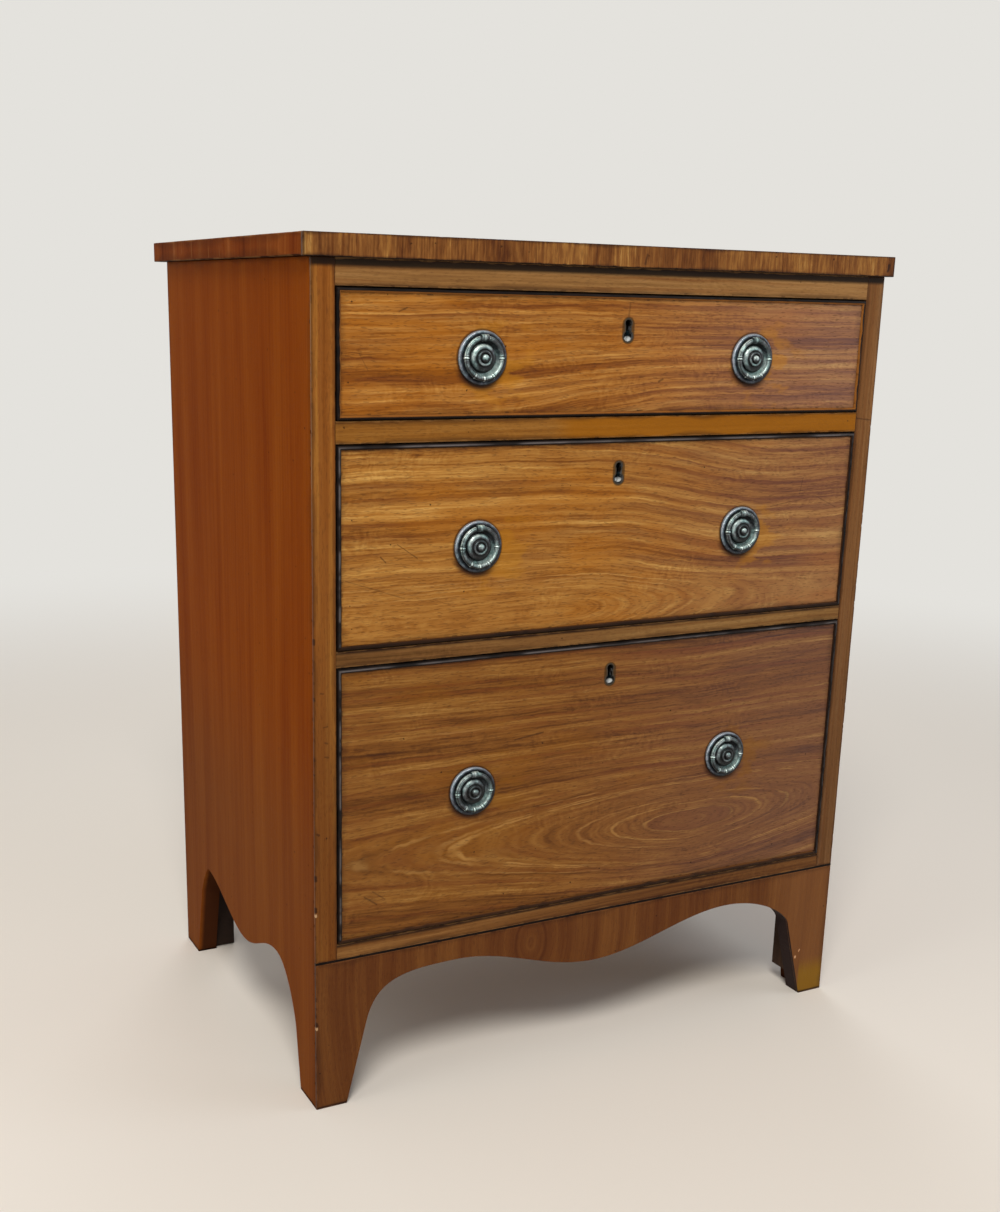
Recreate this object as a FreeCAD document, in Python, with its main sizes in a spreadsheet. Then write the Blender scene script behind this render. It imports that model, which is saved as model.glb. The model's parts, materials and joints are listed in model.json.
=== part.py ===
import FreeCAD, Part
import Sketcher
import os
import re
from math import cos, pi, sin

Vector = FreeCAD.Vector
Rotation = FreeCAD.Rotation
Placement = FreeCAD.Placement

# Bachelor's chest of three graduated drawers. Millimetres, +Z up, front towards -Y, +X to the right.
# The origin lies on the floor under the middle of the whole chest, its top and pulls included.

doc = FreeCAD.newDocument("bachelors_chest")
sheet = doc.addObject("Spreadsheet::Sheet", "Sizes")
layout = doc.addObject("App::VarSet", "Layout")

SIZES = {
    # carcass
    "case_width": 600,
    "case_depth": 418,
    "side_thick": 21,
    "facing_thick": 3,
    "housing_deep": 8,
    "rail_depth": 55,
    "back_rail_depth": 45,
    "runner_width": 26,
    "runner_thick": 12,
    # heights; the lower drawer has what the rest leaves of the overall height
    "overall_height": 784.5,
    "apron_height": 147,
    "string_height": 2,
    "bottom_thick": 15,
    "lower_divider_thick": 14.5,
    "middle_opening": 177.5,
    "upper_divider_thick": 19,
    "upper_opening": 108.5,
    "top_rail_thick": 22,
    "top_thick": 19,
    # top board
    "top_side_over": 8,
    "top_front_over": 4,
    "top_back_over": 20,
    "top_band_thick": 3,
    # scrolled outline of the front apron and its feet, sawn by hand, so its two halves differ
    "apron_thick": 18,
    "front_foot": 30.5,
    "front_drop": 94,
    "left_leg_top": 50.5,
    "left_arch_inset": 143,
    "left_spring": 81,
    "left_arch": 125.4,
    "right_leg_top": 53.5,
    "right_arch_inset": 140.5,
    "right_spring": 88,
    "right_arch": 124.4,
    # scrolled outline of the side panels and their feet, from the front half to the rear half
    "side_foot": 42,
    "side_drop": 88.5,
    "fore_leg_top": 53.7,
    "fore_arch_inset": 108,
    "fore_spring": 60.5,
    "fore_arch": 116.5,
    "rear_leg_top": 62,
    "rear_arch_inset": 89.5,
    "rear_spring": 81,
    "rear_arch": 119.5,
    # back and underside
    "back_board_thick": 10,
    "back_rebate": 10,
    "back_board_gap": 1,
    "block_width": 22,
    "block_height": 20,
    "block_length": 56,
    "front_block_spread": 150,
    "side_block_spread": 90,
    "corner_block_width": 14,
    "corner_block_height": 129,
    "rear_block_width": 23,
    "rear_block_inset": 4,
    "rear_block_lift": 1,
    "stop_length": 40,
    "stop_width": 12,
    "stop_height": 5,
    "stop_spread": 190,
    # screws that hold the top down on its rails
    "screw_radius": 2.2,
    "screw_head_radius": 4.4,
    "screw_bite": 12,
    "screw_spread": 200,
    "screw_inset": 38,
    "screw_gap": 0.1,
    # drawer boxes
    "front_thick": 20,
    "drawer_side_gap": 0.8,
    "drawer_top_gap": 1,
    "drawer_lift": 0.6,
    "drawer_back_room": 20,
    "board_thick": 10,
    "side_top_drop": 4,
    "back_top_drop": 9,
    "floor_thick": 7,
    "floor_lift": 9,
    "floor_groove": 4.5,
    "lap_thick": 6,
    "bead_width": 4,
    "tail_pitch": 34,
    "tail_wide": 25,
    "tail_narrow": 19,
    # locks and their keyholes
    "lock_width": 52,
    "lock_height": 47,
    "lock_deep": 11,
    "lock_plate": 2,
    "selvage_width": 66,
    "selvage_thick": 2,
    "bolt_width": 24,
    "bolt_thick": 5,
    "bolt_height": 20,
    "bolt_notch_width": 8,
    "bolt_notch_height": 4,
    "bolt_gap": 0.15,
    "mortise_deep": 9,
    "mortise_gap": 0.8,
    "key_top_radius": 3.3,
    "key_low_radius": 4.6,
    "key_waist": 5.2,
    "key_spacing": 11.4,
    "key_drop": 26,
    "key_pin_radius": 1.2,
    "key_pin_inset": 5.5,
    "upper_key_x": 4,
    "middle_key_x": 1,
    "lower_key_x": 2,
    "chamber_radius": 6.5,
    "chamber_deep": 5,
    "liner_wall": 1.3,
    "liner_deep": 5,
    # ring pulls
    "pull_spread": 288,
    "upper_pull_rise": 51.5,
    "middle_pull_rise": 84.5,
    "plate_radius": 23.4,
    "plate_rim_width": 2.8,
    "plate_rim_height": 3,
    "plate_web": 1.5,
    "boss_radius": 12.6,
    "boss_height": 5.5,
    "boss_flat_radius": 7.6,
    "collar_radius": 6.5,
    "collar_height": 7.4,
    "button_radius": 3.2,
    "button_height": 9.2,
    "ring_radius": 17.2,
    "ring_wire": 2,
    "ring_stand": 4.8,
    "ring_bead": 2.6,
    "ring_end_gap": 0.3,
    "ring_pin_radius": 1,
    "ring_pin_reach": 2.4,
    "ring_pin_root": 1.2,
    "ring_pin_gap": 0.08,
    "knuckle_width": 7,
    "knuckle_radius": 3,
    "post_radius": 2,
    "post_gap": 0.1,
    "post_tail": 2,
    "nut_width": 10,
    "nut_thick": 3.5,
}

# Places worked out from the sizes.
PLACES = {
    "face_y": "(button_height - case_depth - top_back_over) / 2",
    "half_case": "case_width / 2",
    "inner_half": "case_width / 2 - side_thick",
    "core_y": "face_y + facing_thick",
    "back_y": "face_y + case_depth",
    "back_face_y": "back_y - back_board_thick",
    "base_z": "apron_height + string_height",
    "lower_z": "base_z + bottom_thick",
    "upper_half": "middle_opening + upper_divider_thick + upper_opening + top_rail_thick + top_thick",
    "lower_opening": "overall_height - lower_z - lower_divider_thick - upper_half",
    "lower_pull_rise": "lower_opening / 2",
    "lower_divider_z": "lower_z + lower_opening",
    "middle_z": "lower_divider_z + lower_divider_thick",
    "upper_divider_z": "middle_z + middle_opening",
    "upper_z": "upper_divider_z + upper_divider_thick",
    "top_rail_z": "upper_z + upper_opening",
    "top_z": "top_rail_z + top_rail_thick",
    "rail_back_y": "face_y + rail_depth",
    "back_rail_y": "back_face_y - back_rail_depth",
    "drawer_half": "inner_half - drawer_side_gap",
    "drawer_inner_half": "drawer_half - board_thick",
    "front_back_y": "face_y + front_thick",
    "drawer_end_y": "back_face_y - drawer_back_room",
    "lock_y": "front_back_y - lock_deep",
    "bolt_y": "front_back_y - lock_deep / 2",
    "pull_x": "pull_spread / 2",
    "pivot_y": "face_y - ring_stand",
    "ring_end_x": "knuckle_width / 2 + ring_end_gap",
    "screw_head_height": "screw_head_radius - screw_radius",
}

BACK_BOARDS = 3
RING_BEADS = (3, 5, 6, 7, 9)  # where the ring carries its beads, as hours on a clock face

# How full the corner, the crown and the ogee of each half outline are, as shares of a span.
FULLNESS = {
    "left": (0.91, 0.59, 0.37),
    "right": (0.33, 0.58, 0.34),
    "fore": (0.2, 0.59, 0.39),
    "rear": (0.32, 0.21, 0.33),
}

# Turns that lay a rod along X or along Y, face a turned piece forwards, and set an outline along Y.
ACROSS = Rotation(Vector(0, 1, 0), 90)
INWARD = Rotation(Vector(1, 0, 0), -90)
FORWARD = Rotation(Vector(0, 0, 1), 180)
SIDEWAYS = Rotation(Vector(0, 0, 1), -90)
UPRIGHT = Rotation()


def fill_sheet():
    for row, (alias, value) in enumerate(SIZES.items(), start=1):
        sheet.set("A%d" % row, alias)
        sheet.set("B%d" % row, str(value))
        sheet.setAlias("B%d" % row, alias)
    doc.recompute()
    for place, expression in PLACES.items():
        layout.addProperty("App::PropertyFloat", place)
        layout.setExpression(place, bound(expression))
    doc.recompute()


def bound(text):
    """An expression with its names pointed at the objects that hold them."""
    def point(match):
        word = match.group()
        if word in SIZES:
            return "Sizes." + word
        return "Layout." + word if word in PLACES else word
    return re.sub(r"[a-z_]+", point, str(text))


def measure(text):
    """The number that an expression comes to."""
    return float(layout.evalExpression(bound(text)))


def put(item, x, y, z, turn=UPRIGHT):
    item.Placement = Placement(Vector(), turn)
    for axis, expression in zip("xyz", (x, y, z)):
        item.setExpression("Placement.Base." + axis, bound(expression))
    return item


def bind(item, **expressions):
    for name, expression in expressions.items():
        item.setExpression(name, bound(expression))
    return item


def box(name, length, width, height, x, y, z):
    item = doc.addObject("Part::Box", name)
    return put(bind(item, Length=length, Width=width, Height=height), x, y, z)


def spanning(name, half, width, height, y, z, middle=0):
    """A box that reaches as far to the left of its middle as to the right."""
    return box(name, "2 * (%s)" % half, width, height, "%s - (%s)" % (middle, half), y, z)


def rod(name, radius, length, x, y, z, turn=UPRIGHT):
    item = doc.addObject("Part::Cylinder", name)
    return put(bind(item, Radius=radius, Height=length), x, y, z, turn)


def fuse(name, *pieces):
    item = doc.addObject("Part::MultiFuse", name)
    item.Shapes = list(pieces)
    item.Refine = True
    return item


def cut(name, base, *tools):
    item = doc.addObject("Part::Cut", name)
    item.Base = base
    item.Tool = tools[0] if len(tools) == 1 else fuse(name + "_tools", *tools)
    item.Refine = True
    return item


def group(name, *pieces):
    item = doc.addObject("Part::Compound", name)
    item.Links = list(pieces)
    return item


def mirrored(name, source):
    item = doc.addObject("Part::Mirroring", name)
    item.Source = source
    item.Normal = Vector(1, 0, 0)
    return item


def from_shape(name, shape, x, y, z, turn=UPRIGHT):
    item = doc.addObject("Part::Feature", name)
    item.Shape = shape
    return put(item, x, y, z, turn)


def sketched_body(name, plane_role, corners):
    """A body with a sketch of straight lines, each corner tied to the sketch's origin."""
    body = doc.addObject("PartDesign::Body", name)
    sketch = body.newObject("Sketcher::SketchObject", name + "_sketch")
    plane = [item for item in body.Origin.OriginFeatures if item.Role == plane_role][0]
    sketch.AttachmentSupport = (plane, "")
    sketch.MapMode = "FlatFace"
    count = len(corners)
    start = [Vector(cos(2 * pi * step / count), sin(2 * pi * step / count), 0) for step in range(count)]
    for step in range(count):
        sketch.addGeometry(Part.LineSegment(start[step], start[(step + 1) % count]), False)
    for step in range(count):
        sketch.addConstraint(Sketcher.Constraint("Coincident", step, 2, (step + 1) % count, 1))
    for step, corner in enumerate(corners):
        for kind, expression in zip(("DistanceX", "DistanceY"), corner):
            number = sketch.addConstraint(Sketcher.Constraint(kind, -1, 1, step, 1, 1.0))
            sketch.setExpression("Constraints[%d]" % number, bound(expression))
    return body, sketch


def padded_body(name, plane_role, corners, length, centred=False):
    body, sketch = sketched_body(name, plane_role, corners)
    pad = body.newObject("PartDesign::Pad", name + "_pad")
    pad.Profile = sketch
    pad.Midplane = centred
    bind(pad, Length=length)
    return body


def turned_body(name, corners):
    """A turned piece: the profile's corners are radius and height, turned about the upright axis."""
    body, sketch = sketched_body(name, "XY_Plane", corners)
    turning = body.newObject("PartDesign::Revolution", name + "_turning")
    turning.Profile = sketch
    turning.ReferenceAxis = (sketch, ["V_Axis"])
    turning.Angle = 360
    return body


# Rails, dividers and the bottom: each is housed in both side panels behind the stile facings.

def rail(name, thick, z, *mortises):
    seen = spanning(name + "_seen", "inner_half", "rail_depth", thick, "face_y", z)
    housed = spanning(name + "_housed", "inner_half + housing_deep", "rail_depth - facing_thick",
                      thick, "core_y", z)
    whole = fuse(name if not mortises else name + "_whole", seen, housed)
    return whole if not mortises else cut(name, whole, *mortises)


def bolt_mortise(level):
    wide = "bolt_width / 2 + mortise_gap"
    thick = "bolt_thick + 2 * mortise_gap"
    y = "bolt_y - bolt_thick / 2 - mortise_gap"
    z = "%s_z + %s_opening" % (level, level)
    return spanning(level + "_mortise", wide, thick, "mortise_deep", y, z, level + "_key_x")


def build_rails(screw_holes):
    rails = {
        "bottom_rail": rail("bottom_rail", "bottom_thick", "base_z"),
        "lower_divider": rail("lower_divider", "lower_divider_thick", "lower_divider_z",
                              bolt_mortise("lower")),
        "upper_divider": rail("upper_divider", "upper_divider_thick", "upper_divider_z",
                              bolt_mortise("middle")),
        "top_rail": rail("top_rail", "top_rail_thick", "top_rail_z", bolt_mortise("upper"), screw_holes),
    }
    half = "inner_half + housing_deep"
    plain = spanning("back_rail_whole", half, "back_rail_depth", "top_rail_thick",
                     "back_rail_y", "top_rail_z")
    rails["back_rail"] = cut("back_rail", plain, screw_holes)
    depth = "back_face_y - rail_back_y"
    rails["bottom_board"] = spanning("bottom_board", half, depth, "bottom_thick", "rail_back_y", "base_z")
    return rails


# Feet and aprons share one outline: a leg, an arch that springs from it, and a drop in the middle.

def scroll_edges(name, half, foot, drop):
    """Edges of one half of an outline, from the floor to the middle, as points across and up."""
    overrun = 2.0  # the leg's line carries on this far below the floor
    corner_rise, crown_reach, ogee_ease = FULLNESS[name]
    leg_top = measure(name + "_leg_top")
    arch_inset = measure(name + "_arch_inset")
    spring = measure(name + "_spring")
    arch = measure(name + "_arch")
    slope = (leg_top - foot) / spring
    below = Vector(half - foot + slope * overrun, 0, -overrun)
    leg = Vector(half - leg_top, 0, spring)
    top = Vector(half - arch_inset, 0, arch)
    middle = Vector(0, 0, drop)
    rise = corner_rise * (arch - spring)
    shoulder = Vector(leg.x - slope * rise, 0, spring + rise)
    crown = Vector(top.x + crown_reach * (leg.x - top.x), 0, arch)
    ease = ogee_ease * top.x
    corner = Part.BezierCurve()
    corner.setPoles([leg, shoulder, crown, top])
    ogee = Part.BezierCurve()
    ogee.setPoles([top, Vector(top.x - ease, 0, arch), Vector(ease, 0, drop), middle])
    return [Part.LineSegment(below, leg).toShape(), corner.toShape(), ogee.toShape()]


def scroll_cutter(halves, half, foot, drop, thick):
    """The space between two feet, seen along Y, and as deep as the piece it is cut from."""
    spans = [measure(size) for size in (half, foot, drop)]
    right_edges, left_edges = [scroll_edges(name, *spans) for name in halves]
    flip = FreeCAD.Matrix(-1, 0, 0, 0, 0, 1, 0, 0, 0, 0, 1, 0, 0, 0, 0, 1)
    left_edges = [edge.transformGeometry(flip) for edge in left_edges]
    ends = [edges[0].Vertexes[0].Point for edges in (left_edges, right_edges)]
    floor = Part.LineSegment(*ends).toShape()
    wire = Part.Wire(Part.sortEdges(right_edges + left_edges + [floor])[0])
    return Part.Face(wire).extrude(Vector(0, measure(thick), 0))


def front_scroll():
    shape = scroll_cutter(("right", "left"), "half_case", "front_foot", "front_drop",
                          "facing_thick + apron_thick")
    return from_shape("front_scroll", shape, 0, "face_y", 0)


def side_scroll():
    shape = scroll_cutter(("fore", "rear"), "case_depth / 2", "side_foot", "side_drop", "side_thick")
    return from_shape("side_scroll", shape, "-half_case", "face_y + case_depth / 2", 0, SIDEWAYS)


def build_front_base():
    scroll = front_scroll()
    facing = spanning("apron_facing_whole", "half_case", "facing_thick", "apron_height", "face_y", 0)
    board = spanning("apron_board_whole", "inner_half", "apron_thick", "base_z", "core_y", 0)
    return {
        "apron_facing": cut("apron_facing", facing, scroll),
        "apron_board": cut("apron_board", board, scroll),
        "string_inlay": spanning("string_inlay", "half_case", "facing_thick", "string_height",
                                 "face_y", "apron_height"),
    }


def build_sides(rails):
    panel = box("left_side_whole", "side_thick", "case_depth - facing_thick", "top_z",
                "-half_case", "core_y", 0)
    rebate = spanning("back_rebate_space", "inner_half + back_rebate", "back_board_thick",
                      "top_z - base_z", "back_face_y", "base_z")
    left = cut("left_side", panel, side_scroll(), rebate, *rails.values())
    stile = box("left_stile", "side_thick", "facing_thick", "top_z - base_z",
                "-half_case", "face_y", "base_z")
    return {
        "left_side": left,
        "right_side": mirrored("right_side", left),
        "left_stile": stile,
        "right_stile": mirrored("right_stile", stile),
    }


def build_back():
    height = "(top_z - base_z - %d * back_board_gap) / %d" % (BACK_BOARDS - 1, BACK_BOARDS)
    boards = []
    for step in range(BACK_BOARDS):
        z = "base_z + %d * (%s + back_board_gap)" % (step, height)
        boards.append(spanning("back_board_%d" % step, "inner_half + back_rebate", "back_board_thick",
                               height, "back_face_y", z))
    return {"back_boards": group("back_boards", *boards)}


def pair(name, length, width, height, y, z):
    """Two like blocks against the inner faces of the side panels."""
    left = box(name + "_left", length, width, height, "-inner_half", y, z)
    return [left, mirrored(name + "_right", left)]


def build_runners():
    runners = []
    for level in ("middle", "upper"):
        runners += pair(level + "_runner", "runner_width", "back_face_y - rail_back_y", "runner_thick",
                        "rail_back_y", level + "_z - runner_thick")
    kickers = pair("kicker", "runner_width", "back_rail_y - rail_back_y", "top_rail_thick",
                   "rail_back_y", "top_rail_z")
    return {
        "drawer_runners": group("drawer_runners", *runners),
        "top_kickers": group("top_kickers", *kickers),
    }


def build_stops():
    stops = []
    for level in ("lower", "middle", "upper"):
        right = box(level + "_stop_right", "stop_length", "stop_width", "stop_height",
                    "stop_spread - stop_length / 2", "front_back_y", level + "_z")
        stops += [right, mirrored(level + "_stop_left", right)]
    return {"drawer_stops": group("drawer_stops", *stops)}


def build_glue_blocks():
    behind = "core_y + apron_thick"
    blocks = pair("corner_block", "corner_block_width", "block_width", "corner_block_height", behind,
                  "base_z - corner_block_height")
    # the rear blocks stand just inside the outline of the rear feet, and reach down almost to the floor
    rear_depth = "side_foot - back_board_thick - rear_block_inset"
    blocks += pair("rear_block", "rear_block_width", rear_depth, "base_z - rear_block_lift",
                   "back_face_y - (%s)" % rear_depth, "rear_block_lift")
    for place in (-1, 0, 1):
        x = "%d * front_block_spread - block_length / 2" % place
        blocks.append(box("front_block_%d" % (place + 1), "block_length", "block_width", "block_height",
                          x, behind, "base_z - block_height"))
    for place, side in ((-1, "near"), (1, "far")):
        y = "face_y + case_depth / 2 + %d * side_block_spread - block_length / 2" % place
        blocks += pair("side_block_" + side, "block_width", "block_length", "block_height",
                       y, "base_z - block_height")
    return {"glue_blocks": group("glue_blocks", *blocks)}


# Screws come up through the rails into the top board, their heads countersunk.

def screw(name, x, y, gap):
    head = doc.addObject("Part::Cone", name + "_head")
    bind(head, Radius1="screw_head_radius + " + gap, Radius2="screw_radius + " + gap,
         Height="screw_head_height")
    put(head, x, y, "top_rail_z")
    shank = rod(name + "_shank", "screw_radius + " + gap, "top_rail_thick + screw_bite + " + gap,
                x, y, "top_rail_z")
    return fuse(name, head, shank)


def screw_row(name, gap):
    screws = []
    for row, y in (("front", "face_y + screw_inset"), ("back", "back_rail_y + back_rail_depth / 2")):
        for place in (-1, 0, 1):
            x = "%d * screw_spread" % place
            screws.append(screw("%s_%s_%d" % (name, row, place + 1), x, y, gap))
    return group(name, *screws)


def build_top(screw_holes):
    length = "case_width + 2 * top_side_over"
    depth = "case_depth + top_front_over + top_back_over - top_band_thick"
    corners = ((0, 0), (length, 0), (length, depth), (0, depth))
    board = padded_body("top_board_whole", "XY_Plane", corners, "top_thick")
    put(board, "-half_case - top_side_over", "face_y - top_front_over + top_band_thick", "top_z")
    band = spanning("top_edge_band", "half_case + top_side_over", "top_band_thick", "top_thick",
                    "face_y - top_front_over", "top_z")
    return {"top_board": cut("top_board", board, screw_holes), "top_edge_band": band}


# Drawers: dovetailed boxes with a bead all round the front.

def tails(name, side, base, height, y, length, wide, narrow):
    """Dovetails in one side's end. wide and narrow are their heights at the near and far ends."""
    count = max(2, int(measure(height) // measure("tail_pitch")))
    x = "-drawer_half" if side == "left" else "drawer_inner_half"
    wedges = []
    for step in range(count):
        wedge = doc.addObject("Part::Wedge", "%s_%d" % (name, step))
        bind(wedge, Xmin=0, X2min=0, Xmax="board_thick", X2max="board_thick", Ymin=0, Ymax=length,
             Zmin="-%s / 2" % wide, Zmax="%s / 2" % wide,
             Z2min="-%s / 2" % narrow, Z2max="%s / 2" % narrow)
        put(wedge, x, y, "%s + (%s) * %s / %d" % (base, height, step + 0.5, count))
        wedges.append(wedge)
    return wedges


def bead_strip(length, reach):
    """A mitred strip with a round nose. Its outer edge lies at height reach, its nose towards -Y."""
    width = measure("bead_width")
    deep = measure("lap_thick")
    nose = width / 2
    flat = Part.makeBox(length, deep, width, Vector(-length / 2, 0, reach - width))
    round_edge = Part.makeCylinder(nose, length, Vector(-length / 2, 0, reach - nose), Vector(1, 0, 0))
    inner = length / 2 - width
    corners = [Vector(-length / 2, -nose, reach), Vector(length / 2, -nose, reach),
               Vector(inner, -nose, reach - width), Vector(-inner, -nose, reach - width)]
    mitre = Part.Face(Part.makePolygon(corners + corners[:1])).extrude(Vector(0, nose + deep, 0))
    return flat.fuse(round_edge).common(mitre).removeSplitter()


def bead_frame(width, height):
    strips = []
    for turn in range(4):
        across, up = (width, height) if turn % 2 == 0 else (height, width)
        strip = bead_strip(across, up / 2)
        strip.rotate(Vector(), Vector(0, 1, 0), 90 * turn)
        strips.append(strip)
    return Part.makeCompound(strips)


def keyhole(name, grow, y, deep, key_x, key_z):
    """Two round lobes, the lower one larger, joined by a waist."""
    low = "%s - key_spacing" % key_z
    top_lobe = rod(name + "_top", "key_top_radius + " + grow, deep, key_x, y, key_z, INWARD)
    low_lobe = rod(name + "_low", "key_low_radius + " + grow, deep, key_x, y, low, INWARD)
    waist = spanning(name + "_waist", "key_waist / 2 + " + grow, deep, "key_spacing", y, low, key_x)
    return fuse(name, top_lobe, low_lobe, waist)


def lock_case(name, top, key_x, key_z):
    """The case with its selvage, as the block it is let in as and as the hollow piece itself."""
    body = spanning(name + "_lock_body", "lock_width / 2", "lock_deep", "lock_height - selvage_thick",
                    "lock_y", top + " - lock_height", key_x)
    selvage = spanning(name + "_selvage", "selvage_width / 2", "lock_deep", "selvage_thick",
                       "lock_y", top + " - selvage_thick", key_x)
    block = fuse(name + "_lock_block", body, selvage)
    bolt_space = spanning(name + "_bolt_space", "bolt_width / 2 + bolt_gap", "bolt_thick + 2 * bolt_gap",
                          "bolt_height", "bolt_y - bolt_thick / 2 - bolt_gap", top + " - bolt_height", key_x)
    chamber = rod(name + "_chamber", "chamber_radius", "chamber_deep", key_x, "lock_y + lock_plate",
                  key_z, INWARD)
    key_space = keyhole(name + "_plate_hole", "0", "lock_y", "lock_plate", key_x, key_z)
    hollow = cut(name + "_lock_hollow", block, bolt_space, chamber, key_space)
    pin = rod(name + "_key_pin", "key_pin_radius", "front_back_y - face_y - key_pin_inset", key_x,
              "face_y + key_pin_inset", key_z, INWARD)
    return block, fuse(name + "_lock_case", hollow, pin)


def build_lock(name, top, key_x, key_z):
    block, case = lock_case(name, top, key_x, key_z)
    left, right = "(bolt_width - bolt_notch_width) / 2", "(bolt_width + bolt_notch_width) / 2"
    corners = ((0, 0), (left, 0), (left, "bolt_notch_height"), (right, "bolt_notch_height"), (right, 0),
               ("bolt_width", 0), ("bolt_width", "bolt_height"), (0, "bolt_height"))
    bolt = padded_body(name + "_lock_bolt", "XZ_Plane", corners, "bolt_thick", centred=True)
    put(bolt, key_x + " - bolt_width / 2", "bolt_y", top + " - bolt_height")
    outer = keyhole(name + "_liner_outer", "liner_wall", "face_y", "liner_deep", key_x, key_z)
    key_way = keyhole(name + "_key_way", "0", "face_y", "front_thick - lock_deep", key_x, key_z)
    pieces = {
        name + "_lock_case": case,
        name + "_lock_bolt": bolt,
        name + "_keyhole_liner": cut(name + "_keyhole_liner", outer, key_way),
    }
    return pieces, (block, outer, key_way)


def build_box(name, z, opening, front_tools):
    floor = spanning(name + "_floor", "drawer_inner_half + floor_groove",
                     "drawer_end_y - front_back_y + floor_groove", "floor_thick",
                     "front_back_y - floor_groove", z + " + floor_lift")
    side_height = opening + " - side_top_drop"
    floor_top = z + " + floor_lift + floor_thick"
    back_height = opening + " - back_top_drop - floor_lift - floor_thick"
    back_start = "drawer_end_y - board_thick"
    joints = {}
    for side in ("left", "right"):
        label = "%s_%s" % (name, side)
        joints[side, "front"] = tails(label + "_front_tail", side, z, side_height, "face_y + lap_thick",
                                      "front_thick - lap_thick", "tail_wide", "tail_narrow")
        joints[side, "back"] = tails(label + "_back_tail", side, floor_top, back_height, back_start,
                                     "board_thick", "tail_narrow", "tail_wide")
    front_height = opening + " - drawer_top_gap - drawer_lift"
    beads = from_shape(name + "_cockbead", bead_frame(measure("2 * drawer_half"), measure(front_height)),
                       0, "face_y", "%s + drawer_lift + (%s) / 2" % (z, front_height))
    front_whole = spanning(name + "_front_whole", "drawer_half", "front_thick", front_height,
                           "face_y", z + " + drawer_lift")
    front = cut(name + "_front", front_whole, beads, floor, *joints["left", "front"],
                *joints["right", "front"], *front_tools)
    back_whole = spanning(name + "_back_whole", "drawer_half", "board_thick", back_height,
                          back_start, floor_top)
    back = cut(name + "_back", back_whole, *joints["left", "back"], *joints["right", "back"])
    pieces = {
        name + "_front": front,
        name + "_back": back,
        name + "_floor": floor,
        name + "_cockbead": beads,
    }
    for side, x in (("left", "-drawer_half"), ("right", "drawer_inner_half")):
        board = box("%s_%s_board" % (name, side), "board_thick", "drawer_end_y - front_back_y",
                    side_height, x, "front_back_y", z)
        tailed = fuse("%s_%s_tailed" % (name, side), board, *joints[side, "front"])
        label = "%s_%s_side" % (name, side)
        pieces[label] = cut(label, tailed, back, floor)
    return pieces


# Ring pulls: a turned backplate, a post through the drawer front, its nut, and a ring on two stub pins.

def build_plates(name, pull_z, post_hole):
    rim = "plate_radius - plate_rim_width"
    corners = ((0, 0), ("plate_radius", 0), ("plate_radius", "plate_rim_height"), (rim, "plate_rim_height"),
               (rim, "plate_web"), ("boss_radius", "plate_web"), ("boss_flat_radius", "boss_height"),
               ("collar_radius", "boss_height"), ("collar_radius", "collar_height"),
               ("button_radius", "collar_height"), ("button_radius", "button_height"), (0, "button_height"))
    turned = turned_body(name + "_plate_turned", corners)
    put(turned, "pull_x", "face_y", pull_z, FORWARD)
    right = cut(name + "_plate_right", turned, post_hole)
    return group(name + "_pull_plates", mirrored(name + "_plate_left", right), right)


def build_posts(name, pivot_z):
    inside = "front_thick + nut_thick + post_tail"
    knuckle = rod(name + "_knuckle", "knuckle_radius", "knuckle_width", "pull_x - knuckle_width / 2",
                  "pivot_y", pivot_z, ACROSS)
    shank = rod(name + "_shank", "post_radius", "ring_stand + " + inside,
                "pull_x", "pivot_y", pivot_z, INWARD)
    bore = rod(name + "_pin_bore", "ring_pin_radius + ring_pin_gap", "knuckle_width",
               "pull_x - knuckle_width / 2", "pivot_y", pivot_z, ACROSS)
    post = cut(name + "_post_right", fuse(name + "_post_solid", knuckle, shank), bore)
    hole = rod(name + "_nut_hole", "post_radius + post_gap", "nut_thick", "pull_x", "front_back_y",
               pivot_z, INWARD)
    blank = box(name + "_nut_blank", "nut_width", "nut_thick", "nut_width", "pull_x - nut_width / 2",
                "front_back_y", "%s - nut_width / 2" % pivot_z)
    nut = cut(name + "_nut_right", blank, hole)
    left = [mirrored(name + "_post_left", post), mirrored(name + "_nut_left", nut)]
    return group(name + "_pull_posts", post, nut, *left)


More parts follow.
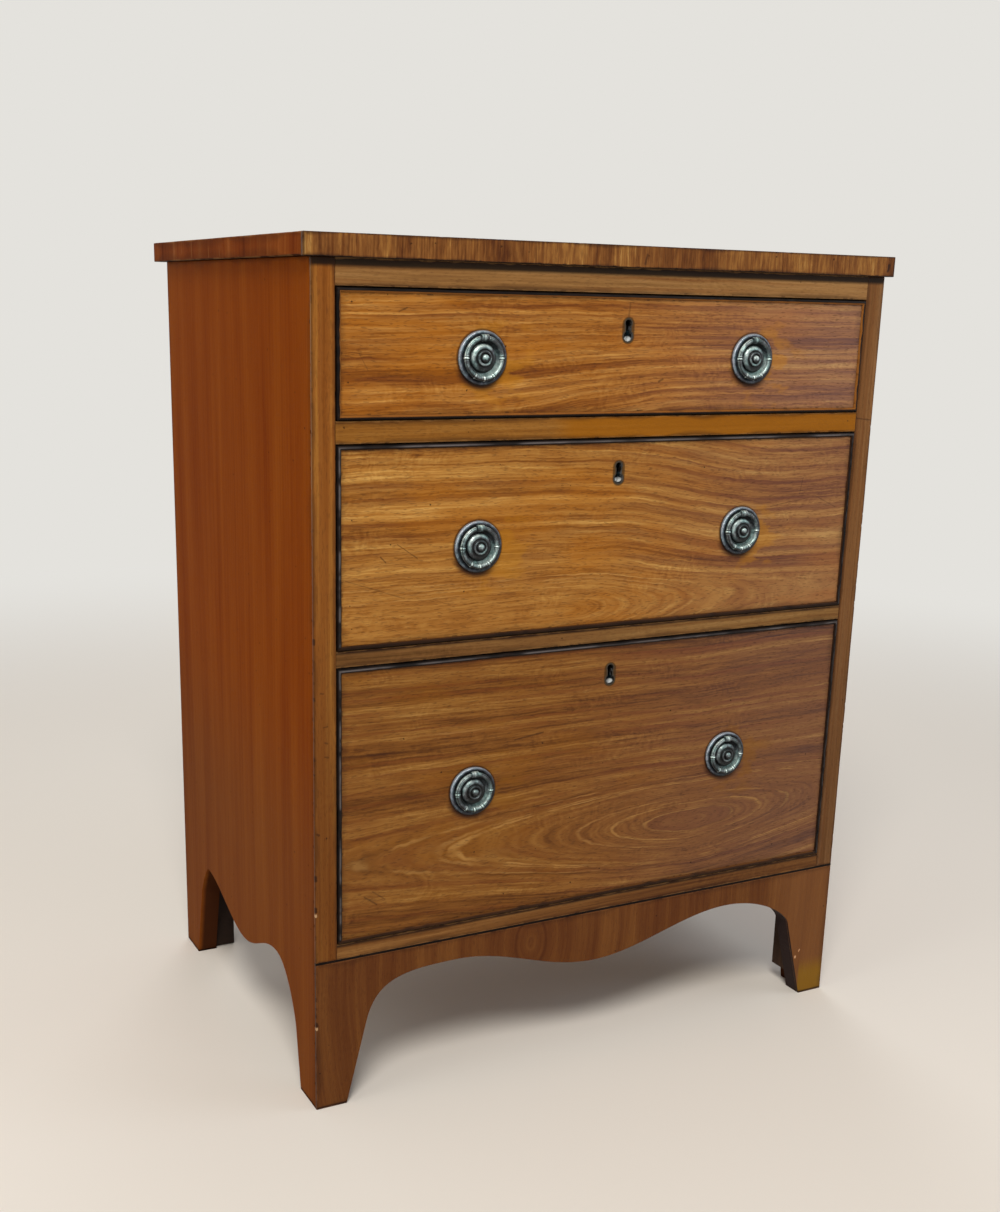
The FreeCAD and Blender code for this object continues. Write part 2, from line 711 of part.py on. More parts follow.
def build_ring(name, pull_z, pivot_z):
    torus = doc.addObject("Part::Torus", name + "_hoop")
    bind(torus, Radius1="ring_radius", Radius2="ring_wire")
    put(torus, "pull_x", "pivot_y", pull_z, INWARD)
    gap = box(name + "_hoop_gap", "2 * ring_end_x", "2 * ring_bead", "2 * ring_bead", "pull_x - ring_end_x",
              "pivot_y - ring_bead", "%s - ring_bead" % pivot_z)
    pieces = [cut(name + "_hoop_open", torus, gap)]
    for hours in RING_BEADS:
        bead = doc.addObject("Part::Sphere", "%s_bead_%d" % (name, hours))
        bind(bead, Radius="ring_bead")
        angle = 360 / 12 * hours
        along_wire = Rotation(Vector(0, 1, 0), angle + 90)  # the wire runs through the bead's poles
        put(bead, "pull_x + ring_radius * sin(%s deg)" % angle, "pivot_y",
            "%s + ring_radius * cos(%s deg)" % (pull_z, angle), along_wire)
        pieces.append(bead)
    pin = "ring_end_x - knuckle_width / 2 + ring_pin_reach + ring_pin_root"
    starts = {
        "near": "pull_x - ring_end_x - ring_pin_root",
        "far": "pull_x + knuckle_width / 2 - ring_pin_reach",
    }
    for side, x in starts.items():
        pieces.append(rod("%s_%s_pin" % (name, side), "ring_pin_radius", pin, x, "pivot_y", pivot_z, ACROSS))
    right = fuse(name + "_ring_right", *pieces)
    return {name + "_ring_right": right, name + "_ring_left": mirrored(name + "_ring_left", right)}


def build_drawer(level):
    name = level + "_drawer"
    z = level + "_z"
    opening = level + "_opening"
    pull_z = "%s + %s_pull_rise" % (z, level)
    pivot_z = pull_z + " + ring_radius"
    top = "%s + %s - drawer_top_gap" % (z, opening)
    pieces, lock_tools = build_lock(name, top, level + "_key_x", "%s + %s - key_drop" % (z, opening))
    post_hole = rod(name + "_post_hole_right", "post_radius + post_gap", "plate_rim_height + front_thick",
                    "pull_x", "face_y - plate_rim_height", pivot_z, INWARD)
    holes = (post_hole, mirrored(name + "_post_hole_left", post_hole))
    pieces.update(build_box(name, z, opening, lock_tools + holes))
    pieces[name + "_pull_plates"] = build_plates(name, pull_z, post_hole)
    pieces[name + "_pull_posts"] = build_posts(name, pivot_z)
    pieces.update(build_ring(name, pull_z, pivot_z))
    return pieces


def build():
    fill_sheet()
    screws = screw_row("top_screws", "0")
    screw_holes = screw_row("screw_holes", "screw_gap")
    nodes = {"top_screws": screws}
    nodes.update(build_top(screw_holes))
    rails = build_rails(screw_holes)
    nodes.update(rails)
    nodes.update(build_sides(rails))
    nodes.update(build_front_base())
    for maker in (build_back, build_runners, build_stops, build_glue_blocks):
        nodes.update(maker())
    for level in ("upper", "middle", "lower"):
        nodes.update(build_drawer(level))
    doc.recompute()
    return nodes


def check(nodes):
    for item in doc.Objects:
        if "Invalid" in item.State or "Error" in item.State:
            raise RuntimeError("%s did not build: %s" % (item.Label, item.State))
    for name, item in nodes.items():
        item.Label = name
        if item.Shape.isNull() or not item.Shape.isValid() or not item.Shape.Solids:
            raise RuntimeError("%s has no sound solid" % name)


def write(nodes):
    os.makedirs("parts", exist_ok=True)
    for name, item in nodes.items():
        item.Shape.exportStep("parts/%s.step" % name)
        bounds = item.Shape.BoundBox
        print("%-30s %2d solids %12.1f mm3  z %6.1f to %6.1f" % (
            name, len(item.Shape.Solids), item.Shape.Volume, bounds.ZMin, bounds.ZMax))


nodes = build()
check(nodes)
write(nodes)
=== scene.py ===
import bpy
import json
import math
import random
from mathutils import Color, Matrix, Vector, noise

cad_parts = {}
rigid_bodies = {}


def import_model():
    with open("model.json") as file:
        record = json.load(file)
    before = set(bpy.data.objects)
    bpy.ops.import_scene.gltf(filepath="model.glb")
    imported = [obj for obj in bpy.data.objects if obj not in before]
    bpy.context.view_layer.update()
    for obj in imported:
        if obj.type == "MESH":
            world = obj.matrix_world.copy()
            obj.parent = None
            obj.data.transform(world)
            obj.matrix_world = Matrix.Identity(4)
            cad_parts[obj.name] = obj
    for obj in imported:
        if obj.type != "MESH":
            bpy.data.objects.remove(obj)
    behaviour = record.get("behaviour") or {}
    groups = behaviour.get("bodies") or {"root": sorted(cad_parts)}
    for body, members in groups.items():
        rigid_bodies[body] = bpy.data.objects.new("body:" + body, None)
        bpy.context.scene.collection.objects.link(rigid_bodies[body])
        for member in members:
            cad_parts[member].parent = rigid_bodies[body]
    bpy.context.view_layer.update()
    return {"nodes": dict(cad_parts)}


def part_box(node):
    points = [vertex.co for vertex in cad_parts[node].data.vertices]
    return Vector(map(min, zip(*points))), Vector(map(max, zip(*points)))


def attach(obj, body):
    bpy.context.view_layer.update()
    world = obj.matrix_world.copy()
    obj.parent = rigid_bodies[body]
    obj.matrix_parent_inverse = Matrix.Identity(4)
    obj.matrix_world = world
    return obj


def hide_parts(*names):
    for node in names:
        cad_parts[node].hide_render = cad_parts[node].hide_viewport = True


for leftover in list(bpy.data.objects):   # the start-up cube, lamp and camera
    bpy.data.objects.remove(leftover)
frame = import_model()
levels = ("upper", "middle", "lower")
sides = {"left": -1, "right": 1}
mm = 0.001
print("frame loaded,", len(frame["nodes"]), "nodes")


# small helpers for node trees

def tint(code):   # six hex digits, as in a paint picker
    parts = Color([int(code[i:i + 2], 16) / 255 for i in (0, 2, 4)])
    return tuple(parts.from_srgb_to_scene_linear()) + (1,)


def plug(tree, socket, value):
    if isinstance(value, bpy.types.NodeSocket):
        tree.links.new(value, socket)
    else:
        socket.default_value = value


def addNode(tree, kind, sockets=None, **settings):
    node = tree.nodes.new("ShaderNode" + kind)
    for name, value in settings.items():
        setattr(node, name, value)
    for name, value in (sockets or {}).items():
        plug(tree, node.inputs[name], value)
    return node


def maths(tree, operation, *values):
    node = addNode(tree, "Math", operation=operation)
    for socket, value in zip(node.inputs, values):
        plug(tree, socket, value)
    return node.outputs[0]


def times(tree, one, other):
    return maths(tree, "MULTIPLY", one, other)


def plus(tree, one, other):
    return maths(tree, "ADD", one, other)


def minus(tree, one, other):
    return maths(tree, "SUBTRACT", one, other)


def over(tree, one, other):
    return maths(tree, "DIVIDE", one, other)


def timesPlus(tree, one, other, more):
    return maths(tree, "MULTIPLY_ADD", one, other, more)


def vectorMaths(tree, operation, *values):
    node = addNode(tree, "VectorMath", operation=operation)
    for socket, value in zip(node.inputs, values):
        plug(tree, socket, value)
    return node.outputs["Value" if operation in ("LENGTH", "DOT_PRODUCT") else "Vector"]


def remap(tree, value, low, high, bottom=0.0, top=1.0, smooth=True):
    node = addNode(tree, "MapRange", {0: value, 1: low, 2: high, 3: bottom, 4: top}, clamp=True)
    node.interpolation_type = "SMOOTHSTEP" if smooth else "LINEAR"
    return node.outputs[0]


def blendColours(tree, amount, first, second, way="MIX"):
    node = addNode(tree, "Mix", data_type="RGBA", blend_type=way)
    for index, value in ((0, amount), (6, first), (7, second)):
        plug(tree, node.inputs[index], value)
    return node.outputs[2]


def paintOver(tree, colour, hue, amount, share=None):   # lays a hue over a colour
    if share is not None:
        amount = times(tree, amount, share)
    return blendColours(tree, amount, colour, tint(hue))


def splitPoint(tree, vector):
    return addNode(tree, "SeparateXYZ", {0: vector}).outputs


def joinPoint(tree, x, y, z):
    return addNode(tree, "CombineXYZ", {0: x, 1: y, 2: z}).outputs[0]


def noiseAt(tree, point, stretch, seed, detail=0.0, rough=0.5):   # from 0 to 1, about 0.5
    scaled = vectorMaths(tree, "MULTIPLY", point, stretch)
    settings = {"Vector": scaled, "W": seed, "Scale": 1.0, "Detail": detail, "Roughness": rough}
    return addNode(tree, "TexNoise", settings, noise_dimensions="4D").outputs[0]


def centred(tree, value, size):   # 0 to 1 becomes -size to size
    return times(tree, minus(tree, value, 0.5), 2 * size if isinstance(size, float) else size)


def toneRamp(tree, value, colours):
    node = addNode(tree, "ValToRGB", {0: value})
    stops = node.color_ramp.elements
    last = len(colours) - 1
    stops[0].color, stops[1].color = tint(colours[0]), tint(colours[last])
    for i in range(1, last):
        stops.new(i / last).color = tint(colours[i])
    return node.outputs[0]


def newGroup(name, inputs, outputs):
    group = bpy.data.node_groups.new(name, "ShaderNodeTree")
    for label, start in inputs.items():
        kind = "NodeSocketVector" if start == "vector" else "NodeSocketFloat"
        socket = group.interface.new_socket(label, in_out="INPUT", socket_type=kind)
        if start != "vector":
            socket.default_value = start
    for label in outputs:
        group.interface.new_socket(label, in_out="OUTPUT", socket_type="NodeSocketFloat")
    return group, group.nodes.new("NodeGroupInput").outputs, group.nodes.new("NodeGroupOutput").inputs


def useGroup(tree, group, sockets):
    node = tree.nodes.new("ShaderNodeGroup")
    node.node_tree = group
    for name, value in sockets.items():
        plug(tree, node.inputs[name], value)
    return node.outputs


# shader groups: grain, growth lines, edges, specks, score lines, pull marks with painted shadow, key shine
# (painted highlights), patina

def makeGrainField():
    # Growth rings cut by the board: distance to a heart line that lies under the face and comes near it.
    inputs = {"Point": "vector", "Heart Along": 0.0, "Heart Across": -1.0, "Tilt Before": 0.0,
              "Tilt After": 0.0, "Open Before": 0.1, "Open After": 0.1, "Span": 0.25, "Depth": 0.004,
              "Sway": 0.006, "Ripple": 0.0008, "Rise": 0.0, "Rise Start": -0.16, "Rise End": 0.1,
              "Rise Low": 0.64, "Rise High": 0.735, "Seed": 0.0}
    group, given, wanted = newGroup("grainField", inputs, ["Field"])
    point, seed = given["Point"], given["Seed"]
    along, across, through = splitPoint(group, point)
    slow = centred(group, noiseAt(group, point, (2.6, 7, 7), seed), times(group, given["Sway"], 2))
    quick = centred(group, noiseAt(group, point, (18, 34, 34), seed), times(group, given["Ripple"], 2))
    jag = centred(group, noiseAt(group, point, (110, 160, 160), seed), times(group, given["Ripple"], 0.9))
    fromHeart = minus(group, along, given["Heart Along"])
    past = maths(group, "GREATER_THAN", fromHeart, 0.0)

    def eitherSide(before, after):
        spread = minus(group, given[after], given[before])
        return timesPlus(group, past, spread, given[before])

    axis = timesPlus(group, fromHeart, eitherSide("Tilt Before", "Tilt After"), given["Heart Across"])
    lift = times(group, remap(group, along, given["Rise Start"], given["Rise End"]),
                 remap(group, across, given["Rise High"], given["Rise Low"]))
    lifted = minus(group, across, times(group, lift, given["Rise"]))
    rise = minus(group, plus(group, lifted, plus(group, slow, quick)), axis)
    level = times(group, maths(group, "TANH", over(group, fromHeart, given["Span"])), given["Span"])
    dive = joinPoint(group, times(group, level, eitherSide("Open Before", "Open After")), rise,
                     given["Depth"])
    field = plus(group, vectorMaths(group, "LENGTH", dive), jag)
    plug(group, wanted["Field"], field)
    return group


def makeGrainTone():
    # Bands, streaks, fibres and cross ripple of a board, from 0 (dark) to 1 (light).
    inputs = {"Point": "vector", "Field": 0.0, "Seed": 0.0, "Band Size": 0.03, "Streak Size": 0.006,
              "Streak Reach": 0.4, "Band": 0.5, "Streak": 0.5, "Fibre": 0.2, "Mottle": 0.2, "Level": 0.5,
              "Calm": 0.0, "Ring Size": 0.009}
    group, given, wanted = newGroup("grainTone", inputs, ["Tone", "Relief", "Veins"])
    along, across, through = splitPoint(group, given["Point"])
    seed, field = given["Seed"], given["Field"]

    def pattern(reach, size, detail, low, high, shift):
        spot = joinPoint(group, over(group, along, reach), over(group, field, size), shift)
        fac = noiseAt(group, spot, (1, 1, 1), seed, detail, 0.55)
        return remap(group, fac, low, high, -1.0, 1.0, smooth=False)

    core = remap(group, field, 0.025, 0.06, 1.0, 0.0)
    active = minus(group, 1.0, times(group, core, given["Calm"]))
    band = times(group, pattern(0.5, given["Band Size"], 1.0, 0.3, 0.7, 0.0), active)
    streak = times(group, pattern(given["Streak Reach"], given["Streak Size"], 3.0, 0.28, 0.72, 4.0),
                   active)
    fibre = pattern(0.045, 0.0017, 2.0, 0.25, 0.75, 9.0)
    uneven = noiseAt(group, joinPoint(group, times(group, along, 1.2), over(group, field, 0.016), 14.0),
                     (1, 1, 1), seed, 1.0)
    count = timesPlus(group, uneven, 2.2, over(group, field, given["Ring Size"]))
    ring = maths(group, "FRACT", count)   # darkens slowly, then stops short
    shade = times(group, remap(group, ring, 0.3, 0.93), remap(group, ring, 0.95, 0.999, 1.0, 0.0))
    strand = remap(group, noiseAt(group, joinPoint(group, times(group, along, 3.5), maths(
        group, "FLOOR", count), 5.0), (1, 1, 1), seed, 2.0), 0.36, 0.62)
    veins = times(group, shade, strand)
    lean = centred(group, noiseAt(group, given["Point"], (30, 60, 60), seed, 1.0), 0.016)
    crossSpot = joinPoint(group, over(group, plus(group, along, lean), 0.0046),
                          over(group, field, 0.011), 2.0)
    cross = remap(group, noiseAt(group, crossSpot, (1, 1, 1), seed, 2.0), 0.3, 0.7, -1.0, 1.0, smooth=False)
    where = remap(group, noiseAt(group, given["Point"], (14, 34, 34), seed, 2.0), 0.46, 0.66)
    parts = [(band, given["Band"]), (streak, given["Streak"]), (fibre, given["Fibre"]),
             (times(group, cross, where), given["Mottle"])]
    tone = given["Level"]
    for value, strength in parts:
        tone = timesPlus(group, value, strength, tone)
    plug(group, wanted["Tone"], tone)
    plug(group, wanted["Relief"], timesPlus(group, fibre, 0.7, times(group, streak, 0.3)))
    plug(group, wanted["Veins"], times(group, veins, active))
    return group


def makeGrowthLine():   # one thin line where the field has a given value, fading in and out
    inputs = {"Point": "vector", "Field": 0.0, "Level": 0.01, "Width": 0.0007, "Seed": 0.0}
    group, given, wanted = newGroup("growthLine", inputs, ["Line"])
    off = maths(group, "ABSOLUTE", minus(group, given["Field"], given["Level"]))
    line = minus(group, 1.0, remap(group, over(group, off, given["Width"]), 0.2, 1.0))
    there = remap(group, noiseAt(group, given["Point"], (30, 45, 45), given["Seed"], 2.0), 0.38, 0.6)
    plug(group, wanted["Line"], times(group, line, there))
    return group


def makeBoardEdges():
    # How near a point is to the arrises of a box: a broken worn line, and softer dirt further in.
    inputs = {"Place": "vector", "Low": "vector", "High": "vector", "Wear Reach": 0.0012, "Dirt Reach": 0.01,
              "Seed": 0.0}
    group, given, wanted = newGroup("boardEdges", inputs, ["Wear", "Dirt", "Nicks"])
    low = vectorMaths(group, "SUBTRACT", given["Place"], given["Low"])
    high = vectorMaths(group, "SUBTRACT", given["High"], given["Place"])
    x, y, z = splitPoint(group, vectorMaths(group, "MINIMUM", low, high))
    smaller, larger = maths(group, "MINIMUM", x, y), maths(group, "MAXIMUM", x, y)
    gap = maths(group, "MAXIMUM", smaller, maths(group, "MINIMUM", larger, z))   # the middle one of the three
    patchy = noiseAt(group, given["Place"], (60, 60, 60), given["Seed"], 2.0)
    coarse = noiseAt(group, given["Place"], (18, 18, 18), given["Seed"], 2.0)
    wearReach = times(group, given["Wear Reach"], remap(group, patchy, 0.3, 0.7, 0.2, 2.0))
    dirtReach = times(group, given["Dirt Reach"], remap(group, coarse, 0.3, 0.7, 0.25, 1.7))
    wear = minus(group, 1.0, remap(group, over(group, gap, wearReach), 0.3, 1.0))
    dirt = minus(group, 1.0, remap(group, over(group, gap, dirtReach), 0.0, 1.0))
    spots = remap(group, noiseAt(group, given["Place"], (170, 170, 170), given["Seed"], 0.0), 0.62, 0.7)
    near = minus(group, 1.0, remap(group, gap, 0.0006, 0.0018))
    plug(group, wanted["Wear"], wear)
    plug(group, wanted["Dirt"], dirt)
    plug(group, wanted["Nicks"], times(group, spots, near))
    return group


def makeSpecks():   # scattered pin holes, and short pores that follow the grain
    inputs = {"Point": "vector", "Cell": 0.03, "Largest": 0.0011, "Seed": 0.0}
    group, given, wanted = newGroup("specks", inputs, ["Holes", "Pores"])
    flat = vectorMaths(group, "MULTIPLY", given["Point"], (1, 1, 0))
    moved = vectorMaths(group, "ADD", flat, joinPoint(group, given["Seed"], given["Seed"], 0.0))
    cells = addNode(group, "TexVoronoi", voronoi_dimensions="2D")
    plug(group, cells.inputs["Vector"], vectorMaths(group, "DIVIDE", moved, joinPoint(
        group, given["Cell"], given["Cell"], 1.0)))
    plug(group, cells.inputs["Scale"], 1.0)
    chance = splitPoint(group, cells.outputs["Color"])[0]
    radius = times(group, remap(group, chance, 0.62, 1.0, 0.0, 1.0), given["Largest"])
    distance = times(group, cells.outputs["Distance"], given["Cell"])
    ragged = centred(group, noiseAt(group, given["Point"], (500, 900, 900), given["Seed"], 1.0), 0.9)
    ratio = plus(group, over(group, distance, plus(group, radius, 0.00001)), ragged)
    plug(group, wanted["Holes"], minus(group, 1.0, remap(group, ratio, 0.5, 1.1)))
    dashes = noiseAt(group, given["Point"], (190, 1500, 1500), given["Seed"], 0.0)
    plug(group, wanted["Pores"], remap(group, dashes, 0.6, 0.72))
    return group


def makeScoreLine():   # a scratch, crack or knock between two points of the face
    inputs = {"Point": "vector", "From": "vector", "To": "vector", "Width": 0.001}
    group, given, wanted = newGroup("scoreLine", inputs, ["Mask"])
    flat = vectorMaths(group, "MULTIPLY", given["Point"], (1, 1, 0))
    wobble = noiseAt(group, flat, (150, 150, 0), 3.0, 1.0)
    start = vectorMaths(group, "SUBTRACT", flat, given["From"])
    run = vectorMaths(group, "SUBTRACT", given["To"], given["From"])
    share = over(group, vectorMaths(group, "DOT_PRODUCT", start, run),
                 vectorMaths(group, "DOT_PRODUCT", run, run))
    share = remap(group, share, 0.0, 1.0, smooth=False)
    step = addNode(group, "VectorMath", {0: run}, operation="SCALE")
    plug(group, step.inputs["Scale"], share)
    off = vectorMaths(group, "LENGTH", vectorMaths(group, "SUBTRACT", start, step.outputs[0]))
    off = timesPlus(group, centred(group, wobble, 0.5), given["Width"], off)
    plug(group, wanted["Mask"], minus(group, 1.0, remap(group, over(group, off, given["Width"]), 0.2, 1.0)))
    return group


def makePullMarksAndShadow():   # the rubbed halo, a line of dirt and painted contact shade round a pair of backplates, and a painted shadow below them
    inputs = {"Point": "vector", "Spread": 0.144, "Height": 0.5, "Radius": 0.0234, "Seed": 0.0}
    group, given, wanted = newGroup("pullMarksAndShadow", inputs, ["Halo", "Dirt", "Shadow Below"])
    along, across, through = splitPoint(group, given["Point"])
    outward = minus(group, maths(group, "ABSOLUTE", along), given["Spread"])
    upward = minus(group, across, given["Height"])
    distance = vectorMaths(group, "LENGTH", joinPoint(group, outward, upward, 0.0))
    past = minus(group, distance, given["Radius"])
    patchy = noiseAt(group, given["Point"], (45, 90, 90), given["Seed"], 3.0)
    patchy = remap(group, patchy, 0.35, 0.65, 0.2, 1.6)
    sideways = times(group, outward, maths(group, "SIGN", along))
    rightSide = joinPoint(group, minus(group, sideways, 0.017), plus(group, upward, 0.006), 0.0)
    halo = remap(group, over(group, vectorMaths(group, "LENGTH", rightSide), patchy), 0.036, 0.012)
    plug(group, wanted["Halo"], halo)
    plug(group, wanted["Dirt"], minus(group, 1.0, remap(group, past, 0.0004, 0.0022)))
    # painted shadow below each plate
    below = remap(group, plus(group, upward, times(group, sideways, 0.3)), -0.012, -0.023)
    close = minus(group, 1.0, remap(group, past, 0.001, 0.0065))
    plug(group, wanted["Shadow Below"], times(group, below, close))
    return group


def makeKeyShine():   # a painted highlight far inside a keyhole, and a fainter one above it
    inputs = {"Place": "vector", "Spot": "vector", "Slant": 0.0}
    group, given, wanted = newGroup("keyShine", inputs, ["Shine", "Gleam"])
    x, depth, z = splitPoint(group, vectorMaths(group, "SUBTRACT", given["Place"], given["Spot"]))
    inside = remap(group, depth, 0.0003, 0.0007)
    x = timesPlus(group, depth, -0.65, x)
    z = minus(group, z, times(group, depth, given["Slant"]))
    spot = vectorMaths(group, "LENGTH", joinPoint(group, over(group, x, 0.0038), 0.0, over(group, z, 0.0024)))
    above = vectorMaths(group, "LENGTH", joinPoint(group, over(group, x, 0.0024), 0.0, over(
        group, minus(group, z, 0.0035), 0.0045)))
    plug(group, wanted["Shine"], times(group, inside, remap(group, spot, 1.15, 0.7)))
    plug(group, wanted["Gleam"], times(group, inside, remap(group, above, 1.1, 0.4)))
    return group


def makePatina():   # blotches and fine pitting of old metal
    inputs = {"Place": "vector", "Blotch": 180.0, "Seed": 0.0}
    group, given, wanted = newGroup("patina", inputs, ["Blotch", "Pit", "Hue"])
    sized = addNode(group, "VectorMath", {0: given["Place"]}, operation="SCALE")
    plug(group, sized.inputs["Scale"], given["Blotch"])

    def spots(size, detail, rough, low, high):
        fac = noiseAt(group, sized.outputs[0], (size, size, size), given["Seed"], detail, rough)
        return remap(group, fac, low, high)

    plug(group, wanted["Blotch"], spots(1, 3.0, 0.6, 0.33, 0.67))
    plug(group, wanted["Pit"], spots(9, 1.0, 0.5, 0.56, 0.7))
    plug(group, wanted["Hue"], spots(0.6, 1.0, 0.5, 0.38, 0.62))
    return group


grainField = makeGrainField()
grainTone = makeGrainTone()
growthLine = makeGrowthLine()
boardEdges = makeBoardEdges()
specks = makeSpecks()
scoreLine = makeScoreLine()
pullMarksAndShadow = makePullMarksAndShadow()
keyShine = makeKeyShine()
patina = makePatina()
print("shader groups made")


# wood

def newMaterial(name):
    material = bpy.data.materials.new(name)
    material.use_nodes = True
    tree = material.node_tree
    shader = tree.nodes["Principled BSDF"]
    return material, tree, shader


def objectPoint(tree, axes="XYZ"):   # object coordinates, put in the order along, across, through
    place = addNode(tree, "TexCoord").outputs["Object"]
    parts = splitPoint(tree, place)
    return place, joinPoint(tree, *[parts["XYZ".index(axis)] for axis in axes])


plainWood = {"axes": "XZY", "seed": 1.0, "grain": {}, "figure": {}, "palette": ["5a3214", "9a652e", "c08a4a"],
             "outlines": (), "outlineColour": "d0a060", "marks": (), "box": None, "wear": 0.0,
             "wearColour": "c09058", "dirt": 0.5, "dirtColour": "2a1509", "dirtReach": 0.01,
             "wearReach": 0.0012, "nicks": 0.5, "holes": 0.7, "cell": 0.03, "pores": 0.25, "veins": 0.0,
             "veinColour": "6e3a14", "glow": None, "heart": None, "drift": None, "boards": None,
             "rough": 0.42, "gloss": 0.1, "coat": 0.0, "coatRough": 0.25, "relief": 0.00005, "extra": None}


def woodMaterial(name, look):
    look = {**plainWood, **look}
    material, tree, shader = newMaterial(name)
    place, point = objectPoint(tree, look["axes"])
    seed = look["seed"]
    if look["boards"]:   # each board of a set has its own grain
        start, pitch = look["boards"]
        step = maths(tree, "FLOOR", over(tree, minus(tree, splitPoint(tree, point)[1], start), pitch))
        shift = addNode(tree, "VectorMath", {0: (0.37, -0.9 * pitch, 1.3)}, operation="SCALE")
        plug(tree, shift.inputs["Scale"], step)
        point = vectorMaths(tree, "ADD", point, shift.outputs[0])
    field = useGroup(tree, grainField, {"Point": point, "Seed": seed, **look["grain"]})
    tone = useGroup(tree, grainTone, {"Point": point, "Field": field["Field"], "Seed": seed,
                                      **look["figure"]})
    colour = toneRamp(tree, tone["Tone"], look["palette"])
    colour = paintOver(tree, colour, look["veinColour"], tone["Veins"], look["veins"])
    if look["glow"]:   # slow patches of stronger colour
        hue, amount = look["glow"]
        patch = remap(tree, noiseAt(tree, point, (7, 26, 26), seed + 30, 3.0, 0.6), 0.48, 0.66, 0.0, amount)
        colour = paintOver(tree, colour, hue, patch)
    if look["heart"]:   # the flat middle of the growth rings
        hue, amount, reach = look["heart"]
        colour = paintOver(tree, colour, hue, remap(tree, field["Field"], reach, reach * 0.9, 0.0, amount))
    if look["drift"]:   # the colour changes slowly towards one end
        hue, amount, start, end = look["drift"]
        share = remap(tree, splitPoint(tree, point)[0], start, end, 0.0, amount)
        colour = paintOver(tree, colour, hue, share)
    for level, strength in look["outlines"]:
        line = useGroup(tree, growthLine, {"Point": point, "Field": field["Field"], "Level": level,
                                           "Seed": seed})
        colour = paintOver(tree, colour, look["outlineColour"], line["Line"], strength)
    small = useGroup(tree, specks, {"Point": point, "Seed": seed, "Cell": look["cell"]})
    height = timesPlus(tree, small["Pores"], -1.2, tone["Relief"])
    colour = paintOver(tree, colour, "3a1c0c", small["Pores"], look["pores"])
    rough = timesPlus(tree, tone["Tone"], -0.12, look["rough"] + 0.06)
    if look["extra"]:
        colour = look["extra"](tree, point, colour)
    if look["box"]:
        low, high = look["box"]
        edges = useGroup(tree, boardEdges, {"Place": place, "Low": low, "High": high, "Seed": seed,
                                            "Dirt Reach": look["dirtReach"], "Wear Reach": look["wearReach"]})
        colour = paintOver(tree, colour, look["dirtColour"], edges["Dirt"], look["dirt"])
        colour = paintOver(tree, colour, look["wearColour"], edges["Wear"], look["wear"])
        colour = paintOver(tree, colour, look["dirtColour"], edges["Nicks"], look["nicks"])
        height = timesPlus(tree, edges["Nicks"], -3.0, height)
    for start, end, width, dark, *other in look["marks"]:   # millimetres on the face
        line = useGroup(tree, scoreLine, {"Point": point, "From": (start[0] * mm, start[1] * mm, 0),
                                          "To": (end[0] * mm, end[1] * mm, 0), "Width": width * mm})
        hue = other[0] if other else look["dirtColour"]
        colour = paintOver(tree, colour, hue, line["Mask"], dark)
        height = timesPlus(tree, line["Mask"], -2.0, height)
    colour = paintOver(tree, colour, "200e06", small["Holes"], look["holes"])
    bump = addNode(tree, "Bump", {"Height": height, "Distance": look["relief"], "Strength": 1.0})
    plug(tree, shader.inputs["Base Color"], colour)
    plug(tree, shader.inputs["Roughness"], rough)
    plug(tree, shader.inputs["Normal"], bump.outputs[0])
    shader.inputs["Specular IOR Level"].default_value = look["gloss"]
    shader.inputs["Coat Weight"].default_value = look["coat"]
    shader.inputs["Coat Roughness"].default_value = look["coatRough"]
    return material


def insetBox(node, across=0.0, up=0.0):
    low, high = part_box(node)
    return low + Vector((across, 0, up)), high - Vector((across, 0, up))


haloTints = {"upper": "bc7f18", "middle": "b57a14", "lower": "86560c"}
keyholeDepth = 0.0095   # from the liner's middle to the middle of the dark part of the hole
# where the light catches in each hole: across and up from the liner's corner, and its slant
keySpots = {"upper": (0.0049, 0.0038, -0.02), "middle": (0.0051, 0.005, -0.13),
            "lower": (0.0051, 0.0048, -0.3)}


def keyGleam(tree, place, colour, level):   # painted highlights: daylight caught inside a keyhole
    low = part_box(level + "_drawer_keyhole_liner")[0]
    across, up, slant = keySpots[level]
    spots = useGroup(tree, keyShine, {"Place": place, "Spot": low + Vector((across, 0, up)), "Slant": slant})
    colour = paintOver(tree, colour, "2b4654", spots["Gleam"], 0.8)
    return paintOver(tree, colour, "eef7fc", spots["Shine"])


